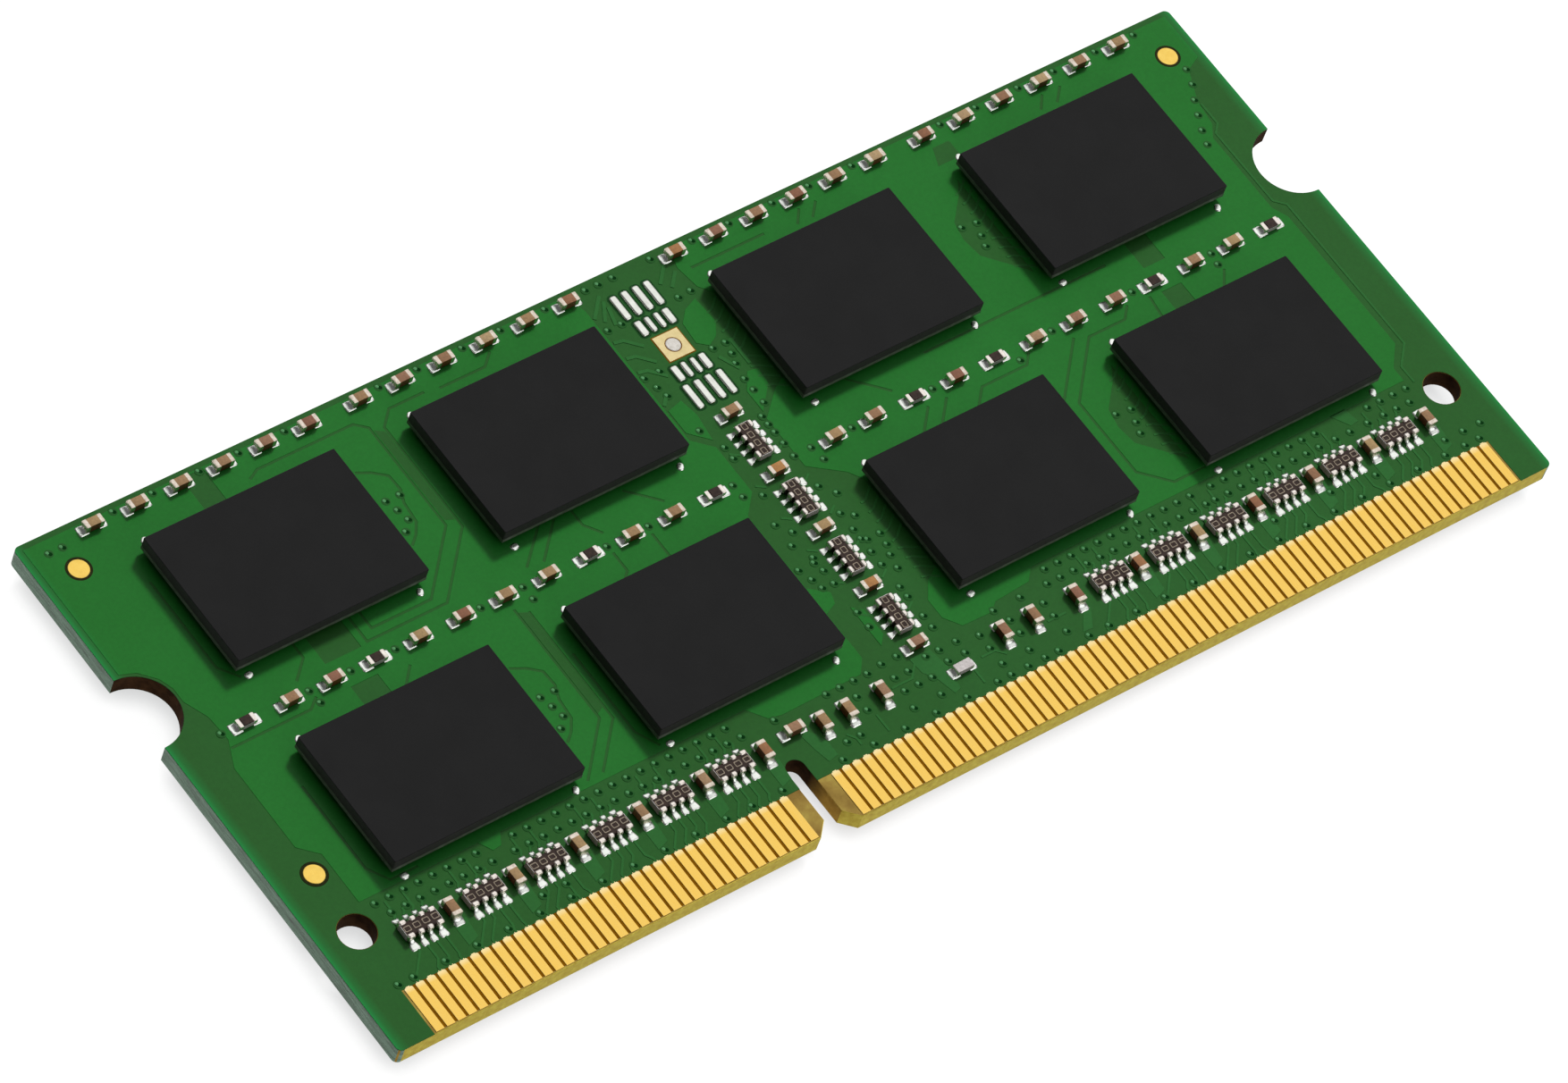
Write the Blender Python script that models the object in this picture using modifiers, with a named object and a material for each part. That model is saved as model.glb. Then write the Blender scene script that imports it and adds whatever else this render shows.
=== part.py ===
"""DDR3 SO-DIMM memory module: 204 contacts, two ranks, eight DRAM packages on each face.

Units are metres and +Z is up. The module lies on its back packages: the origin is the centre of
its footprint, level with their faces. +X runs along the contact edge and +Y points from the
contacts to the opposite long edge, so the front of the board faces +Z.

Sizes below are in millimetres. Places on the board are written as (x, y) from its left end and
its contact edge, seen from the front.
"""
import math

import bmesh
import bpy
from mathutils import Matrix, Vector

MM = 0.001

# Board
BOARD_LENGTH = 67.6
BOARD_WIDTH = 30.0
BOARD_THICKNESS = 1.0
COAT_THICKNESS = 0.02            # solder mask, and likewise the copper and gold of a contact
LAYER_GAP = 0.01                 # clearance kept between bonded layers
CORNER_RADIUS = 0.3
NOTCH_RADIUS = 2.0               # half-round latch notches in both ends
NOTCH_Y = 20.0
KEY_X = 24.8                     # centre of the slot that matches the socket's key
KEY_WIDTH = 1.0
KEY_DEPTH = 4.0
KEY_CHAMFER = 0.7
HOLE_RADIUS = 0.9
HOLE_Y = 6.0
HOLE_INSET = 2.0
HOLE_MASK_RADIUS = 1.1           # bare ring around each tooling hole
MASK_FLANK = 1.95                # width of mask kept at each end of the contact strip

# Edge contacts
CONTACT_PITCH = 0.6
CONTACT_WIDTH = 0.45
CONTACT_LOW = 0.08
CONTACT_LENGTH = 2.55
CONTACT_GROUPS = ((2.3, 36), (26.3, 66))     # first contact's x, number of contacts
BUS_LOW, BUS_HIGH = 2.7, 2.95                # copper that joins the contacts under the mask
BUS_STEP = 0.8                               # how far the bus keeps away from the key slot

# DRAM package: a window ball-grid array on four columns by two rows
PACKAGE_LENGTH = 10.6
PACKAGE_WIDTH = 7.5
PACKAGE_HEIGHT = 1.1
BALL_HEIGHT = 0.3
BALL_PITCH = 0.8
BALL_DIAMETER = 0.42
BALL_ROWS = 13
BALL_COLUMNS = (-4, -3, -2, 2, 3, 4)         # in pitches from the package's centre line
SUBSTRATE_THICKNESS = 0.23
WINDOW_LENGTH, WINDOW_WIDTH = 7.4, 0.9
DIE_LENGTH, DIE_WIDTH, DIE_THICKNESS = 8.4, 5.6, 0.25
DIE_CLEARANCE = 0.02
MOULD_EDGE = 0.05
PACKAGE_X = (10.3, 25.2, 42.65, 57.55)
PACKAGE_Y = (23.45, 11.4)

# Capacitors, resistors and resistor arrays: length, width, height
CHIP = (1.0, 0.5, 0.5)
RESISTOR = (1.0, 0.5, 0.35)
ARRAY = (2.0, 1.0, 0.45)
RAIL_WIDTH = 0.24                            # copper that joins the components of one group
RAIL_HEIGHT = 0.03

TOP_ROW_Y = 29.3
TOP_ROW_GROUPS = (9.87, 24.76, 42.94, 57.87)
TOP_ROW_PITCH = 2.39
TOP_ROW_COUNT = 6

MIDDLE_ROW_Y = 17.34
MIDDLE_ROW_STARTS = (3.92, 37.42)
MIDDLE_ROW_PITCH = 2.413
MIDDLE_ROW_KINDS = ("RCCRCCCCRCCR", "CCRCRCCCRCCR")

CENTRE_X = 33.85
CENTRE_CHIP_Y, CENTRE_ARRAY_Y = 6.25, 8.05
CENTRE_PITCH = 3.61

BOTTOM_ROW_Y = 4.85
BOTTOM_ARRAY_PITCH = 3.5
BOTTOM_CHIP_PITCH = 3.53
BOTTOM_ARRAYS = ((4.62, 6), (44.28, 6))      # first array's x, number of arrays
BOTTOM_CHIPS = ((6.3, 6), (45.95, 6))
BOTTOM_LOOSE_X = (27.3, 28.76, 30.8, 37.88, 39.65, 42.2)
CROSSWISE_CHIP = (25.84, 5.2)
SINGLE_RESISTOR = (35.0, 4.2)

# Configuration memory on the back, in an eight-lead thin small-outline package
SPD_X, SPD_Y = 33.75, 25.0
SPD_BODY = (3.0, 4.4, 0.85)
SPD_STANDOFF = 0.12
SPD_LEAD_PITCH = 0.65
SPD_LEAD_WIDTH = 0.24
SPD_LEAD_THICKNESS = 0.13
SPD_SPAN = 6.4

MID_Z = PACKAGE_HEIGHT + BOARD_THICKNESS / 2          # the board's middle plane
FACE = BOARD_THICKNESS / 2                            # from the middle plane to a coated face
FRONT, BACK = 1, -1
ARC_STEPS = 12

COLOURS = {                                           # colour, roughness, metallic
    "glass_epoxy": ((0.40, 0.36, 0.14), 0.60, 0.0),
    "green_mask": ((0.02, 0.16, 0.04), 0.35, 0.0),
    "gold": ((0.90, 0.62, 0.22), 0.30, 1.0),
    "mould_compound": ((0.025, 0.025, 0.027), 0.70, 0.0),
    "silicon": ((0.16, 0.17, 0.20), 0.25, 0.5),
    "package_laminate": ((0.03, 0.09, 0.05), 0.50, 0.0),
    "ceramic_chip": ((0.34, 0.20, 0.11), 0.50, 0.0),
}


def make_materials():
    """One Principled material for each of the module's substances."""
    made = {}
    for name, (colour, roughness, metallic) in COLOURS.items():
        made[name] = bpy.data.materials.new(name)
        made[name].use_nodes = True
        shader = made[name].node_tree.nodes["Principled BSDF"]
        shader.inputs["Base Color"].default_value = (*colour, 1.0)
        shader.inputs["Roughness"].default_value = roughness
        shader.inputs["Metallic"].default_value = metallic
    return made


# Shapes ---------------------------------------------------------------------------------------

def arc(centre, radius, start, end, steps=ARC_STEPS):
    """Points on a circle from one angle to another, in degrees, both ends included."""
    angles = [math.radians(start + (end - start) * i / steps) for i in range(steps + 1)]
    return [(centre[0] + radius * math.cos(a), centre[1] + radius * math.sin(a)) for a in angles]


def add_box(bm, centre, size):
    """Add a box to a mesh; centre and size in millimetres."""
    scale = Matrix.Diagonal((*size, 1.0))
    bmesh.ops.create_cube(bm, size=MM, matrix=Matrix.Translation(Vector(centre) * MM) @ scale)


def mesh_object(name, bm, material, collection):
    """Close a bmesh into a named object."""
    mesh = bpy.data.meshes.new(name)
    bm.to_mesh(mesh)
    bm.free()
    mesh.materials.append(material)
    made = bpy.data.objects.new(name, mesh)
    collection.objects.link(made)
    return made


def outline_object(name, loops, low, high, material, collection):
    """A flat piece between two heights: the first loop is its rim, the others are holes."""
    curve = bpy.data.curves.new(name, "CURVE")
    curve.dimensions = "2D"
    curve.fill_mode = "BOTH"
    curve.extrude = (high - low) / 2 * MM
    for loop in loops:
        spline = curve.splines.new("POLY")
        spline.points.add(len(loop) - 1)
        for point, (x, y) in zip(spline.points, loop):
            point.co = ((x - BOARD_LENGTH / 2) * MM, (y - BOARD_WIDTH / 2) * MM, 0.0, 1.0)
        spline.use_cyclic_u = True
    curve.materials.append(material)
    made = bpy.data.objects.new(name, curve)
    made.location.z = (low + high) / 2 * MM
    collection.objects.link(made)
    return made


def boolean(target, tool, operation):
    """Cut a tool out of a target, or weld it on; the tool stays as a hidden guide."""
    modifier = target.modifiers.new(tool.name, "BOOLEAN")
    modifier.operation = operation
    modifier.object = tool
    modifier.use_self = True
    tool.hide_render = True
    tool.display_type = "WIRE"


def bevel(target, width):
    """Break a piece's sharp edges with a narrow flat."""
    modifier = target.modifiers.new("edge", "BEVEL")
    modifier.width = width * MM
    modifier.segments = 1


def finished_mesh(source, name):
    """The mesh that an object's modifiers make, for copies to share."""
    bpy.context.view_layer.update()
    evaluated = source.evaluated_get(bpy.context.evaluated_depsgraph_get())
    mesh = bpy.data.meshes.new_from_object(evaluated)
    mesh.name = name
    return mesh


def place(name, mesh, side, x, y, collection):
    """Put a piece, drawn outward from the board's middle plane, on one of its faces."""
    made = bpy.data.objects.new(name, mesh)
    made.location = ((x - BOARD_LENGTH / 2) * MM, (y - BOARD_WIDTH / 2) * MM, MID_Z * MM)
    made.rotation_euler.x = 0.0 if side == FRONT else math.pi
    collection.objects.link(made)
    return made


# Board ----------------------------------------------------------------------------------------

def key_slot():
    """The key slot's outline above the contacts, from its left wall over to its right one."""
    radius = KEY_WIDTH / 2
    return arc((KEY_X, KEY_DEPTH - radius), radius, 180, 0)


def ends_and_top():
    """The board's rim from the lower right corner round to the lower left one."""
    right, top, r = BOARD_LENGTH, BOARD_WIDTH, CORNER_RADIUS
    rim = arc((right - r, r), r, -90, 0, 3)
    rim += arc((right, NOTCH_Y), NOTCH_RADIUS, 270, 90)
    rim += arc((right - r, top - r), r, 0, 90, 3)
    rim += arc((r, top - r), r, 90, 180, 3)
    rim += arc((0, NOTCH_Y), NOTCH_RADIUS, 90, -90)
    rim += arc((r, r), r, 180, 270, 3)
    return rim


def tooling_holes(radius):
    """Both round holes above the ends of the contact strip."""
    return [arc((x, HOLE_Y), radius, 0, 345, 23) for x in (HOLE_INSET, BOARD_LENGTH - HOLE_INSET)]


def make_laminate(materials, collection):
    """The glass-epoxy board, with its key slot, latch notches and tooling holes."""
    left, right = KEY_X - KEY_WIDTH / 2, KEY_X + KEY_WIDTH / 2
    slot = [(left - KEY_CHAMFER, 0), (left, KEY_CHAMFER)] + key_slot()
    slot += [(right, KEY_CHAMFER), (right + KEY_CHAMFER, 0)]
    inner = FACE - 2 * COAT_THICKNESS - 2 * LAYER_GAP
    outline_object("pcb_laminate", [slot + ends_and_top()] + tooling_holes(HOLE_RADIUS),
                   MID_Z - inner, MID_Z + inner, materials["glass_epoxy"], collection)


def make_mask(side, name, materials, collection):
    """The solder mask of one face: all of the board but the contact strip."""
    flank_right = BOARD_LENGTH - MASK_FLANK
    strip = [(MASK_FLANK, 0), (MASK_FLANK, CONTACT_LENGTH)]
    strip += [(KEY_X - KEY_WIDTH / 2, CONTACT_LENGTH)] + key_slot()
    strip += [(KEY_X + KEY_WIDTH / 2, CONTACT_LENGTH), (flank_right, CONTACT_LENGTH), (flank_right, 0)]
    heights = sorted((MID_Z + side * (FACE - COAT_THICKNESS), MID_Z + side * FACE))
    outline_object(name, [strip + ends_and_top()] + tooling_holes(HOLE_MASK_RADIUS),
                   *heights, materials["green_mask"], collection)


def contact_teeth(first_x, count):
    """The lower outline of one group of contacts, from left to right, starting on the bus."""
    teeth = []
    for i in range(count):
        left = first_x + i * CONTACT_PITCH - CONTACT_WIDTH / 2
        right = left + CONTACT_WIDTH
        teeth += [(left, BUS_LOW), (left, CONTACT_LOW), (right, CONTACT_LOW), (right, BUS_LOW)]
    return teeth


def make_contacts(side, name, materials, collection):
    """All contacts of one face; the bus that joins them lies under the mask."""
    (left_x, left_count), (right_x, right_count) = CONTACT_GROUPS
    left, right = contact_teeth(left_x, left_count), contact_teeth(right_x, right_count)
    west, east = KEY_X - BUS_STEP, KEY_X + BUS_STEP
    low, high = KEY_DEPTH + 0.3, KEY_DEPTH + 0.55
    under = [(west, BUS_LOW), (west, low), (east, low), (east, BUS_LOW)]
    thickness = BUS_HIGH - BUS_LOW
    over = [(right[-1][0], BUS_HIGH), (east + thickness, BUS_HIGH), (east + thickness, high)]
    over += [(west - thickness, high), (west - thickness, BUS_HIGH), (left[0][0], BUS_HIGH)]
    inner = FACE - 2 * COAT_THICKNESS - LAYER_GAP
    heights = sorted((MID_Z + side * inner, MID_Z + side * (inner + COAT_THICKNESS)))
    outline_object(name, [left + under + right + over], *heights, materials["gold"], collection)


# DRAM packages --------------------------------------------------------------------------------

def substrate_mesh(materials, guides):
    """Package laminate with its bonding window, and each column of solder balls as one bar."""
    bottom = FACE + BALL_HEIGHT
    bm = bmesh.new()
    add_box(bm, (0, 0, bottom + SUBSTRATE_THICKNESS / 2),
            (PACKAGE_LENGTH, PACKAGE_WIDTH, SUBSTRATE_THICKNESS))
    base = mesh_object("substrate_blank", bm, materials["package_laminate"], guides)

    bm = bmesh.new()
    add_box(bm, (0, 0, bottom), (WINDOW_LENGTH, WINDOW_WIDTH, 2))
    boolean(base, mesh_object("bonding_window", bm, materials["package_laminate"], guides), "DIFFERENCE")

    bm = bmesh.new()
    low, high = FACE + LAYER_GAP, bottom + SUBSTRATE_THICKNESS / 2
    length = (BALL_ROWS - 1) * BALL_PITCH + BALL_DIAMETER
    for column in BALL_COLUMNS:
        add_box(bm, (0, column * BALL_PITCH, (low + high) / 2), (length, BALL_DIAMETER, high - low))
    boolean(base, mesh_object("ball_columns", bm, materials["package_laminate"], guides), "UNION")
    return finished_mesh(base, "dram_substrate")


def mould_mesh(materials, guides):
    """Mould cap with square-cut sides and the pocket that holds the die."""
    low = FACE + BALL_HEIGHT + SUBSTRATE_THICKNESS + LAYER_GAP
    high = FACE + PACKAGE_HEIGHT
    bm = bmesh.new()
    add_box(bm, (0, 0, (low + high) / 2), (PACKAGE_LENGTH, PACKAGE_WIDTH, high - low))
    cap = mesh_object("mould_blank", bm, materials["mould_compound"], guides)
    bevel(cap, MOULD_EDGE)

    bm = bmesh.new()
    depth = DIE_THICKNESS + DIE_CLEARANCE
    add_box(bm, (0, 0, low), (DIE_LENGTH + 2 * DIE_CLEARANCE, DIE_WIDTH + 2 * DIE_CLEARANCE, 2 * depth))
    boolean(cap, mesh_object("die_pocket", bm, materials["mould_compound"], guides), "DIFFERENCE")
    return finished_mesh(cap, "dram_mould_cap")


def die_mesh(materials, guides):
    """The memory chip itself, face down over the bonding window."""
    low = FACE + BALL_HEIGHT + SUBSTRATE_THICKNESS + LAYER_GAP
    bm = bmesh.new()
    add_box(bm, (0, 0, low + DIE_THICKNESS / 2), (DIE_LENGTH, DIE_WIDTH, DIE_THICKNESS))
    return finished_mesh(mesh_object("die_blank", bm, materials["silicon"], guides), "dram_die")


def make_packages(materials, guides, collection):
    """Sixteen packages: two rows of four on each face."""
    pieces = {
        "mould_cap": mould_mesh(materials, guides),
        "die": die_mesh(materials, guides),
        "substrate": substrate_mesh(materials, guides),
    }
    for side, face in ((FRONT, "front"), (BACK, "back")):
        places = [(x, y) for y in PACKAGE_Y for x in PACKAGE_X]
        for number, (x, y) in enumerate(places, start=1):
            for piece, mesh in pieces.items():
                place(f"dram_{face}_{number}_{piece}", mesh, side, x, y, collection)


# Capacitors and resistors ---------------------------------------------------------------------

def component(x, y, size, upright=False):
    """A component as (x, y, length along X, width along Y, height)."""
    length, width, height = size
    return (x, y, width, length, height) if upright else (x, y, length, width, height)


def top_row():
    """Decoupling capacitors along the upper edge, six above each package column."""
    offset = (TOP_ROW_COUNT - 1) / 2
    return [component(centre + (i - offset) * TOP_ROW_PITCH, TOP_ROW_Y, CHIP)
            for centre in TOP_ROW_GROUPS for i in range(TOP_ROW_COUNT)]


def middle_row():
    """Capacitors and resistors between the two rows of packages."""
    sizes = {"C": CHIP, "R": RESISTOR}
    return [component(start + i * MIDDLE_ROW_PITCH, MIDDLE_ROW_Y, sizes[kind])
            for start, kinds in zip(MIDDLE_ROW_STARTS, MIDDLE_ROW_KINDS)
            for i, kind in enumerate(kinds)]


def centre_column():
    """Capacitors and resistor arrays by turns, between the left and right packages."""
    chips = [component(CENTRE_X, CENTRE_CHIP_Y + i * CENTRE_PITCH, CHIP) for i in range(5)]
    arrays = [component(CENTRE_X, CENTRE_ARRAY_Y + i * CENTRE_PITCH, ARRAY, upright=True)
              for i in range(4)]
    return chips + arrays


def bottom_row():
    """Resistor arrays and capacitors above the contact strip."""
    row = [component(first + i * BOTTOM_ARRAY_PITCH, BOTTOM_ROW_Y, ARRAY)
           for first, count in BOTTOM_ARRAYS for i in range(count)]
    row += [component(first + i * BOTTOM_CHIP_PITCH, BOTTOM_ROW_Y, CHIP, upright=True)
            for first, count in BOTTOM_CHIPS for i in range(count)]
    row += [component(x, BOTTOM_ROW_Y, CHIP, upright=True) for x in BOTTOM_LOOSE_X]
    row += [component(*CROSSWISE_CHIP, CHIP), component(*SINGLE_RESISTOR, RESISTOR)]
    return row


def make_group(name, side, components, rails, materials, guides, collection):
    """One row of components, soldered to the flat copper rails that join them.

    A rail is (x, y, length along X, width along Y); the first one is the row's base.
    """
    def add(bm, x, y, length, width, low, high):
        centre = (x - BOARD_LENGTH / 2, (y - BOARD_WIDTH / 2) * side, (low + high) / 2)
        add_box(bm, centre, (length, width, high - low))

    low = FACE + LAYER_GAP
    bm = bmesh.new()
    add(bm, *rails[0], low, low + RAIL_HEIGHT)
    base = mesh_object(name, bm, materials["ceramic_chip"], collection)
    base.location.z = MID_Z * MM
    base.rotation_euler.x = 0.0 if side == FRONT else math.pi

    bm = bmesh.new()
    for x, y, length, width, height in components:
        add(bm, x, y, length, width, low + LAYER_GAP, low + height)
    for rail in rails[1:]:
        add(bm, *rail, low, low + RAIL_HEIGHT)
    parts = mesh_object(f"{name}_parts", bm, materials["ceramic_chip"], guides)
    parts.location.z = base.location.z
    parts.rotation_euler = base.rotation_euler
    boolean(base, parts, "UNION")


def rail_between(first, last, y):
    """A rail along X that runs from one component's centre to another's."""
    return ((first + last) / 2, y, last - first, RAIL_WIDTH)


def make_passives(side, face, materials, guides, collection):
    """The three groups of small components on one face."""
    top, middle, bottom = top_row(), middle_row(), bottom_row()
    column = centre_column()
    ys = [part[1] for part in column]

    make_group(f"capacitors_{face}_top_edge", side, top,
               [rail_between(top[0][0], top[-1][0], TOP_ROW_Y)], materials, guides, collection)

    spine = (CENTRE_X, (min(ys) + max(ys)) / 2, RAIL_WIDTH, max(ys) - min(ys))
    make_group(f"passives_{face}_middle", side, middle + column,
               [rail_between(middle[0][0], middle[-1][0], MIDDLE_ROW_Y), spine],
               materials, guides, collection)

    xs = [part[0] for part in bottom]
    resistor_x, resistor_y = SINGLE_RESISTOR
    branch = (resistor_x, (resistor_y + BOTTOM_ROW_Y) / 2, RAIL_WIDTH, BOTTOM_ROW_Y - resistor_y)
    make_group(f"resistor_arrays_{face}_bottom", side, bottom,
               [rail_between(min(xs), max(xs), BOTTOM_ROW_Y), branch],
               materials, guides, collection)


# Configuration memory -------------------------------------------------------------------------

def make_spd(materials, guides, collection):
    """Eight-lead package with gull-wing leads along its two short sides."""
    length, width, height = SPD_BODY
    low = FACE + SPD_STANDOFF
    bm = bmesh.new()
    add_box(bm, (0, 0, low + height / 2), SPD_BODY)
    body = mesh_object("spd_blank", bm, materials["mould_compound"], guides)
    bevel(body, MOULD_EDGE)

    foot_z = FACE + LAYER_GAP + SPD_LEAD_THICKNESS / 2
    shoulder_z = low + height / 2
    shoulder_y = width / 2 + 0.25
    bm = bmesh.new()
    for i in range(4):
        x = (i - 1.5) * SPD_LEAD_PITCH
        for end in (-1, 1):
            add_box(bm, (x, end * (shoulder_y - 0.3), shoulder_z),
                    (SPD_LEAD_WIDTH, 0.7, SPD_LEAD_THICKNESS))
            add_box(bm, (x, end * shoulder_y, (foot_z + shoulder_z) / 2),
                    (SPD_LEAD_WIDTH * 0.98, SPD_LEAD_THICKNESS, shoulder_z - foot_z + 0.1))
            add_box(bm, (x, end * (shoulder_y + SPD_SPAN / 2 - 0.06) / 2, foot_z),
                    (SPD_LEAD_WIDTH, SPD_SPAN / 2 - shoulder_y + 0.06, SPD_LEAD_THICKNESS))
    boolean(body, mesh_object("spd_leads", bm, materials["gold"], guides), "UNION")
    mesh = finished_mesh(body, "spd_eeprom")
    place("spd_eeprom", mesh, BACK, SPD_X, SPD_Y, collection)


def main():
    for old in list(bpy.data.objects):
        bpy.data.objects.remove(old, do_unlink=True)
    module = bpy.data.collections.new("memory_module")
    guides = bpy.data.collections.new("guides")
    bpy.context.scene.collection.children.link(module)
    bpy.context.scene.collection.children.link(guides)
    materials = make_materials()

    make_laminate(materials, module)
    for side, face in ((FRONT, "front"), (BACK, "back")):
        make_mask(side, f"solder_mask_{face}", materials, module)
        make_contacts(side, f"contacts_{face}", materials, module)
        make_passives(side, face, materials, guides, module)
    make_packages(materials, guides, module)
    make_spd(materials, guides, module)
    for blank in [item for item in guides.objects if item.name.endswith("_blank")]:
        bpy.data.objects.remove(blank, do_unlink=True)


main()
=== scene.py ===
import math
import random

import bmesh
import bpy
from mathutils import Matrix, Vector
from mathutils.geometry import tessellate_polygon


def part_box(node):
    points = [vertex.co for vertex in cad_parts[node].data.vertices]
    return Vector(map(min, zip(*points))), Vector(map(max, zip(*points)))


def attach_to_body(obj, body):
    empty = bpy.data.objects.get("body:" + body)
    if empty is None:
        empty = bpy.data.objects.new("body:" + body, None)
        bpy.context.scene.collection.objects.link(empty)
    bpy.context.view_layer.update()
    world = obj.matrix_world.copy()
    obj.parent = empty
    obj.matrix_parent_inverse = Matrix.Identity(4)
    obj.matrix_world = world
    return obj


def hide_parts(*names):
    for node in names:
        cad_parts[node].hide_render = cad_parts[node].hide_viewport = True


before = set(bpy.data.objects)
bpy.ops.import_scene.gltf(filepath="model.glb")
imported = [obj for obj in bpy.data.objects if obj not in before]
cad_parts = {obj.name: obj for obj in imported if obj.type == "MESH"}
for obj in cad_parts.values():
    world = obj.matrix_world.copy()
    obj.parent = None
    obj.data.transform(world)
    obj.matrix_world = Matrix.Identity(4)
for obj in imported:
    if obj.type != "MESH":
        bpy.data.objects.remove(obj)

# Looks of the laptop memory module. Pieces are drawn in millimetres on one face of the board:
# x from its left end, y from its contact edge (both as seen from the front), z outward from the
# solder mask. piece() carries them to the row frame; the back is the mirror image in z.

MM = 0.001
FRONT, BACK = 1, -1
FACES = ((FRONT, "front"), (BACK, "back"))
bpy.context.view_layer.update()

# Read from the frame
BOARD_LOW, BOARD_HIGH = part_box("pcb_laminate")
LENGTH = (BOARD_HIGH.x - BOARD_LOW.x) / MM
WIDTH = (BOARD_HIGH.y - BOARD_LOW.y) / MM
MID_Z = (BOARD_HIGH.z + BOARD_LOW.z) / 2 / MM
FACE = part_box("solder_mask_front")[1].z / MM - MID_Z       # middle plane to mask face

# Board outline
CORNER_RADIUS = 0.3
NOTCH_RADIUS, NOTCH_Y = 2.0, 20.0
KEY_X, KEY_WIDTH, KEY_DEPTH, KEY_CHAMFER = 24.8, 1.0, 4.0, 0.7
HOLE_RADIUS, HOLE_Y, HOLE_INSET = 0.9, 6.0, 2.0
HOLE_RING = 0.94                                           # the mask stops here around a hole
MASK_THICKNESS = 0.02
MASK_FLANK = 1.95                                          # mask kept at each end of the contacts
CONTACT_LENGTH = 2.55

# Contacts
CONTACT_PITCH, CONTACT_WIDTH, CONTACT_LOW = 0.6, 0.46, 0.07
CONTACT_GROUPS = ((2.3, 36), (26.3, 66))

# Component layout
PACKAGE_ROWS, PACKAGE_COLUMNS, PACKAGE_HALF = (23.45, 11.4), (10.3, 25.2, 42.65, 57.55), 5.3
TOP_ROW_Y, TOP_ROW_GROUPS, TOP_ROW_PITCH, TOP_ROW_COUNT = 29.3, (9.87, 24.76, 42.94, 57.87), 2.39, 6
MIDDLE_ROW_Y, MIDDLE_ROW_STARTS, MIDDLE_ROW_PITCH = 17.34, (3.92, 37.42), 2.413
MIDDLE_ROW_KINDS = ("RCCRCCCCRCCR", "CCRCRCCCRCCR")
CENTRE_X, CENTRE_CHIP_Y, CENTRE_ARRAY_Y, CENTRE_PITCH = 33.85, 6.25, 8.05, 3.61
BOTTOM_ROW_Y, BOTTOM_ARRAY_PITCH, BOTTOM_CHIP_PITCH = 4.85, 3.5, 3.53
BOTTOM_ARRAYS, BOTTOM_CHIPS = ((4.62, 6), (44.28, 6)), ((6.3, 6), (45.95, 6))
BOTTOM_LOOSE_X = (27.3, 28.76, 30.8, 37.88, 39.65, 42.2)
CROSSWISE_CHIP, SINGLE_RESISTOR = (25.84, 5.2), (35.0, 4.2)
FOOTPRINT_X, FOOTPRINT_Y = 33.88, 25.13
FIDUCIALS = ((2.05, 9.35), (2.05, 27.7), (65.85, 27.7))
FIDUCIAL_RADIUS, FIDUCIAL_RING = 0.54, 0.66


# Shapes ---------------------------------------------------------------------------------------

class Shape:
    """Points in millimetres, with faces that know their material slot."""

    def __init__(self):
        self.points, self.faces, self.slots = [], [], []

    def add(self, points, faces, slot=0):
        base = len(self.points)
        self.points += [tuple(p) for p in points]
        self.faces += [tuple(base + i for i in face) for face in faces]
        self.slots += [slot] * len(faces)
        return self

    def stamp(self, shape, x=0.0, y=0.0, z=0.0, turn=0.0):
        """Add a copy of another shape, turned about Z by some degrees and moved."""
        c, s = math.cos(math.radians(turn)), math.sin(math.radians(turn))
        base = len(self.points)
        self.points += [(x + c * px - s * py, y + s * px + c * py, z + pz)
                        for px, py, pz in shape.points]
        self.faces += [tuple(base + i for i in face) for face in shape.faces]
        self.slots += shape.slots
        return self


def arc(cx, cy, radius, start, end, steps=16):
    """Points on a circle between two angles in degrees, both ends included."""
    angles = [math.radians(start + (end - start) * i / steps) for i in range(steps + 1)]
    return [(cx + radius * math.cos(a), cy + radius * math.sin(a)) for a in angles]


def circle(cx, cy, radius, steps=32):
    return arc(cx, cy, radius, 0, 360 * (steps - 1) / steps, steps - 1)


def rectangle(x0, y0, x1, y1):
    return [(x0, y0), (x1, y0), (x1, y1), (x0, y1)]


def rounded(x0, y0, x1, y1, radius, steps=4):
    """A rectangle with rounded corners."""
    loop = []
    for x, y, start in ((x1, y1, 0), (x0, y1, 90), (x0, y0, 180), (x1, y0, 270)):
        cx = x - radius if x == x1 else x + radius
        cy = y - radius if y == y1 else y + radius
        loop += arc(cx, cy, radius, start, start + 90, steps)
    return loop


def area(loop):
    return sum(x0 * y1 - x1 * y0 for (x0, y0), (x1, y1) in zip(loop, loop[1:] + loop[:1])) / 2


def inset(loop, distance):
    """A closed loop moved to its left side by a distance, corner by corner."""
    moved = []
    for i, (x, y) in enumerate(loop):
        ax, ay = loop[i - 1]
        bx, by = loop[(i + 1) % len(loop)]
        d0 = Vector((x - ax, y - ay)).normalized()
        d1 = Vector((bx - x, by - y)).normalized()
        n0, n1 = Vector((-d0.y, d0.x)), Vector((-d1.y, d1.x))
        mid = n0 + n1
        if mid.length < 1e-6:
            mid = n0
        mid.normalize()
        reach = distance / max(0.35, mid.dot(n0))
        moved.append((x + mid.x * reach, y + mid.y * reach))
    return moved


def skin(count, n):
    """Faces between neighbouring rings of n points each."""
    return [(r * n + i, r * n + (i + 1) % n, (r + 1) * n + (i + 1) % n, (r + 1) * n + i)
            for r in range(count - 1) for i in range(n)]


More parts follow.
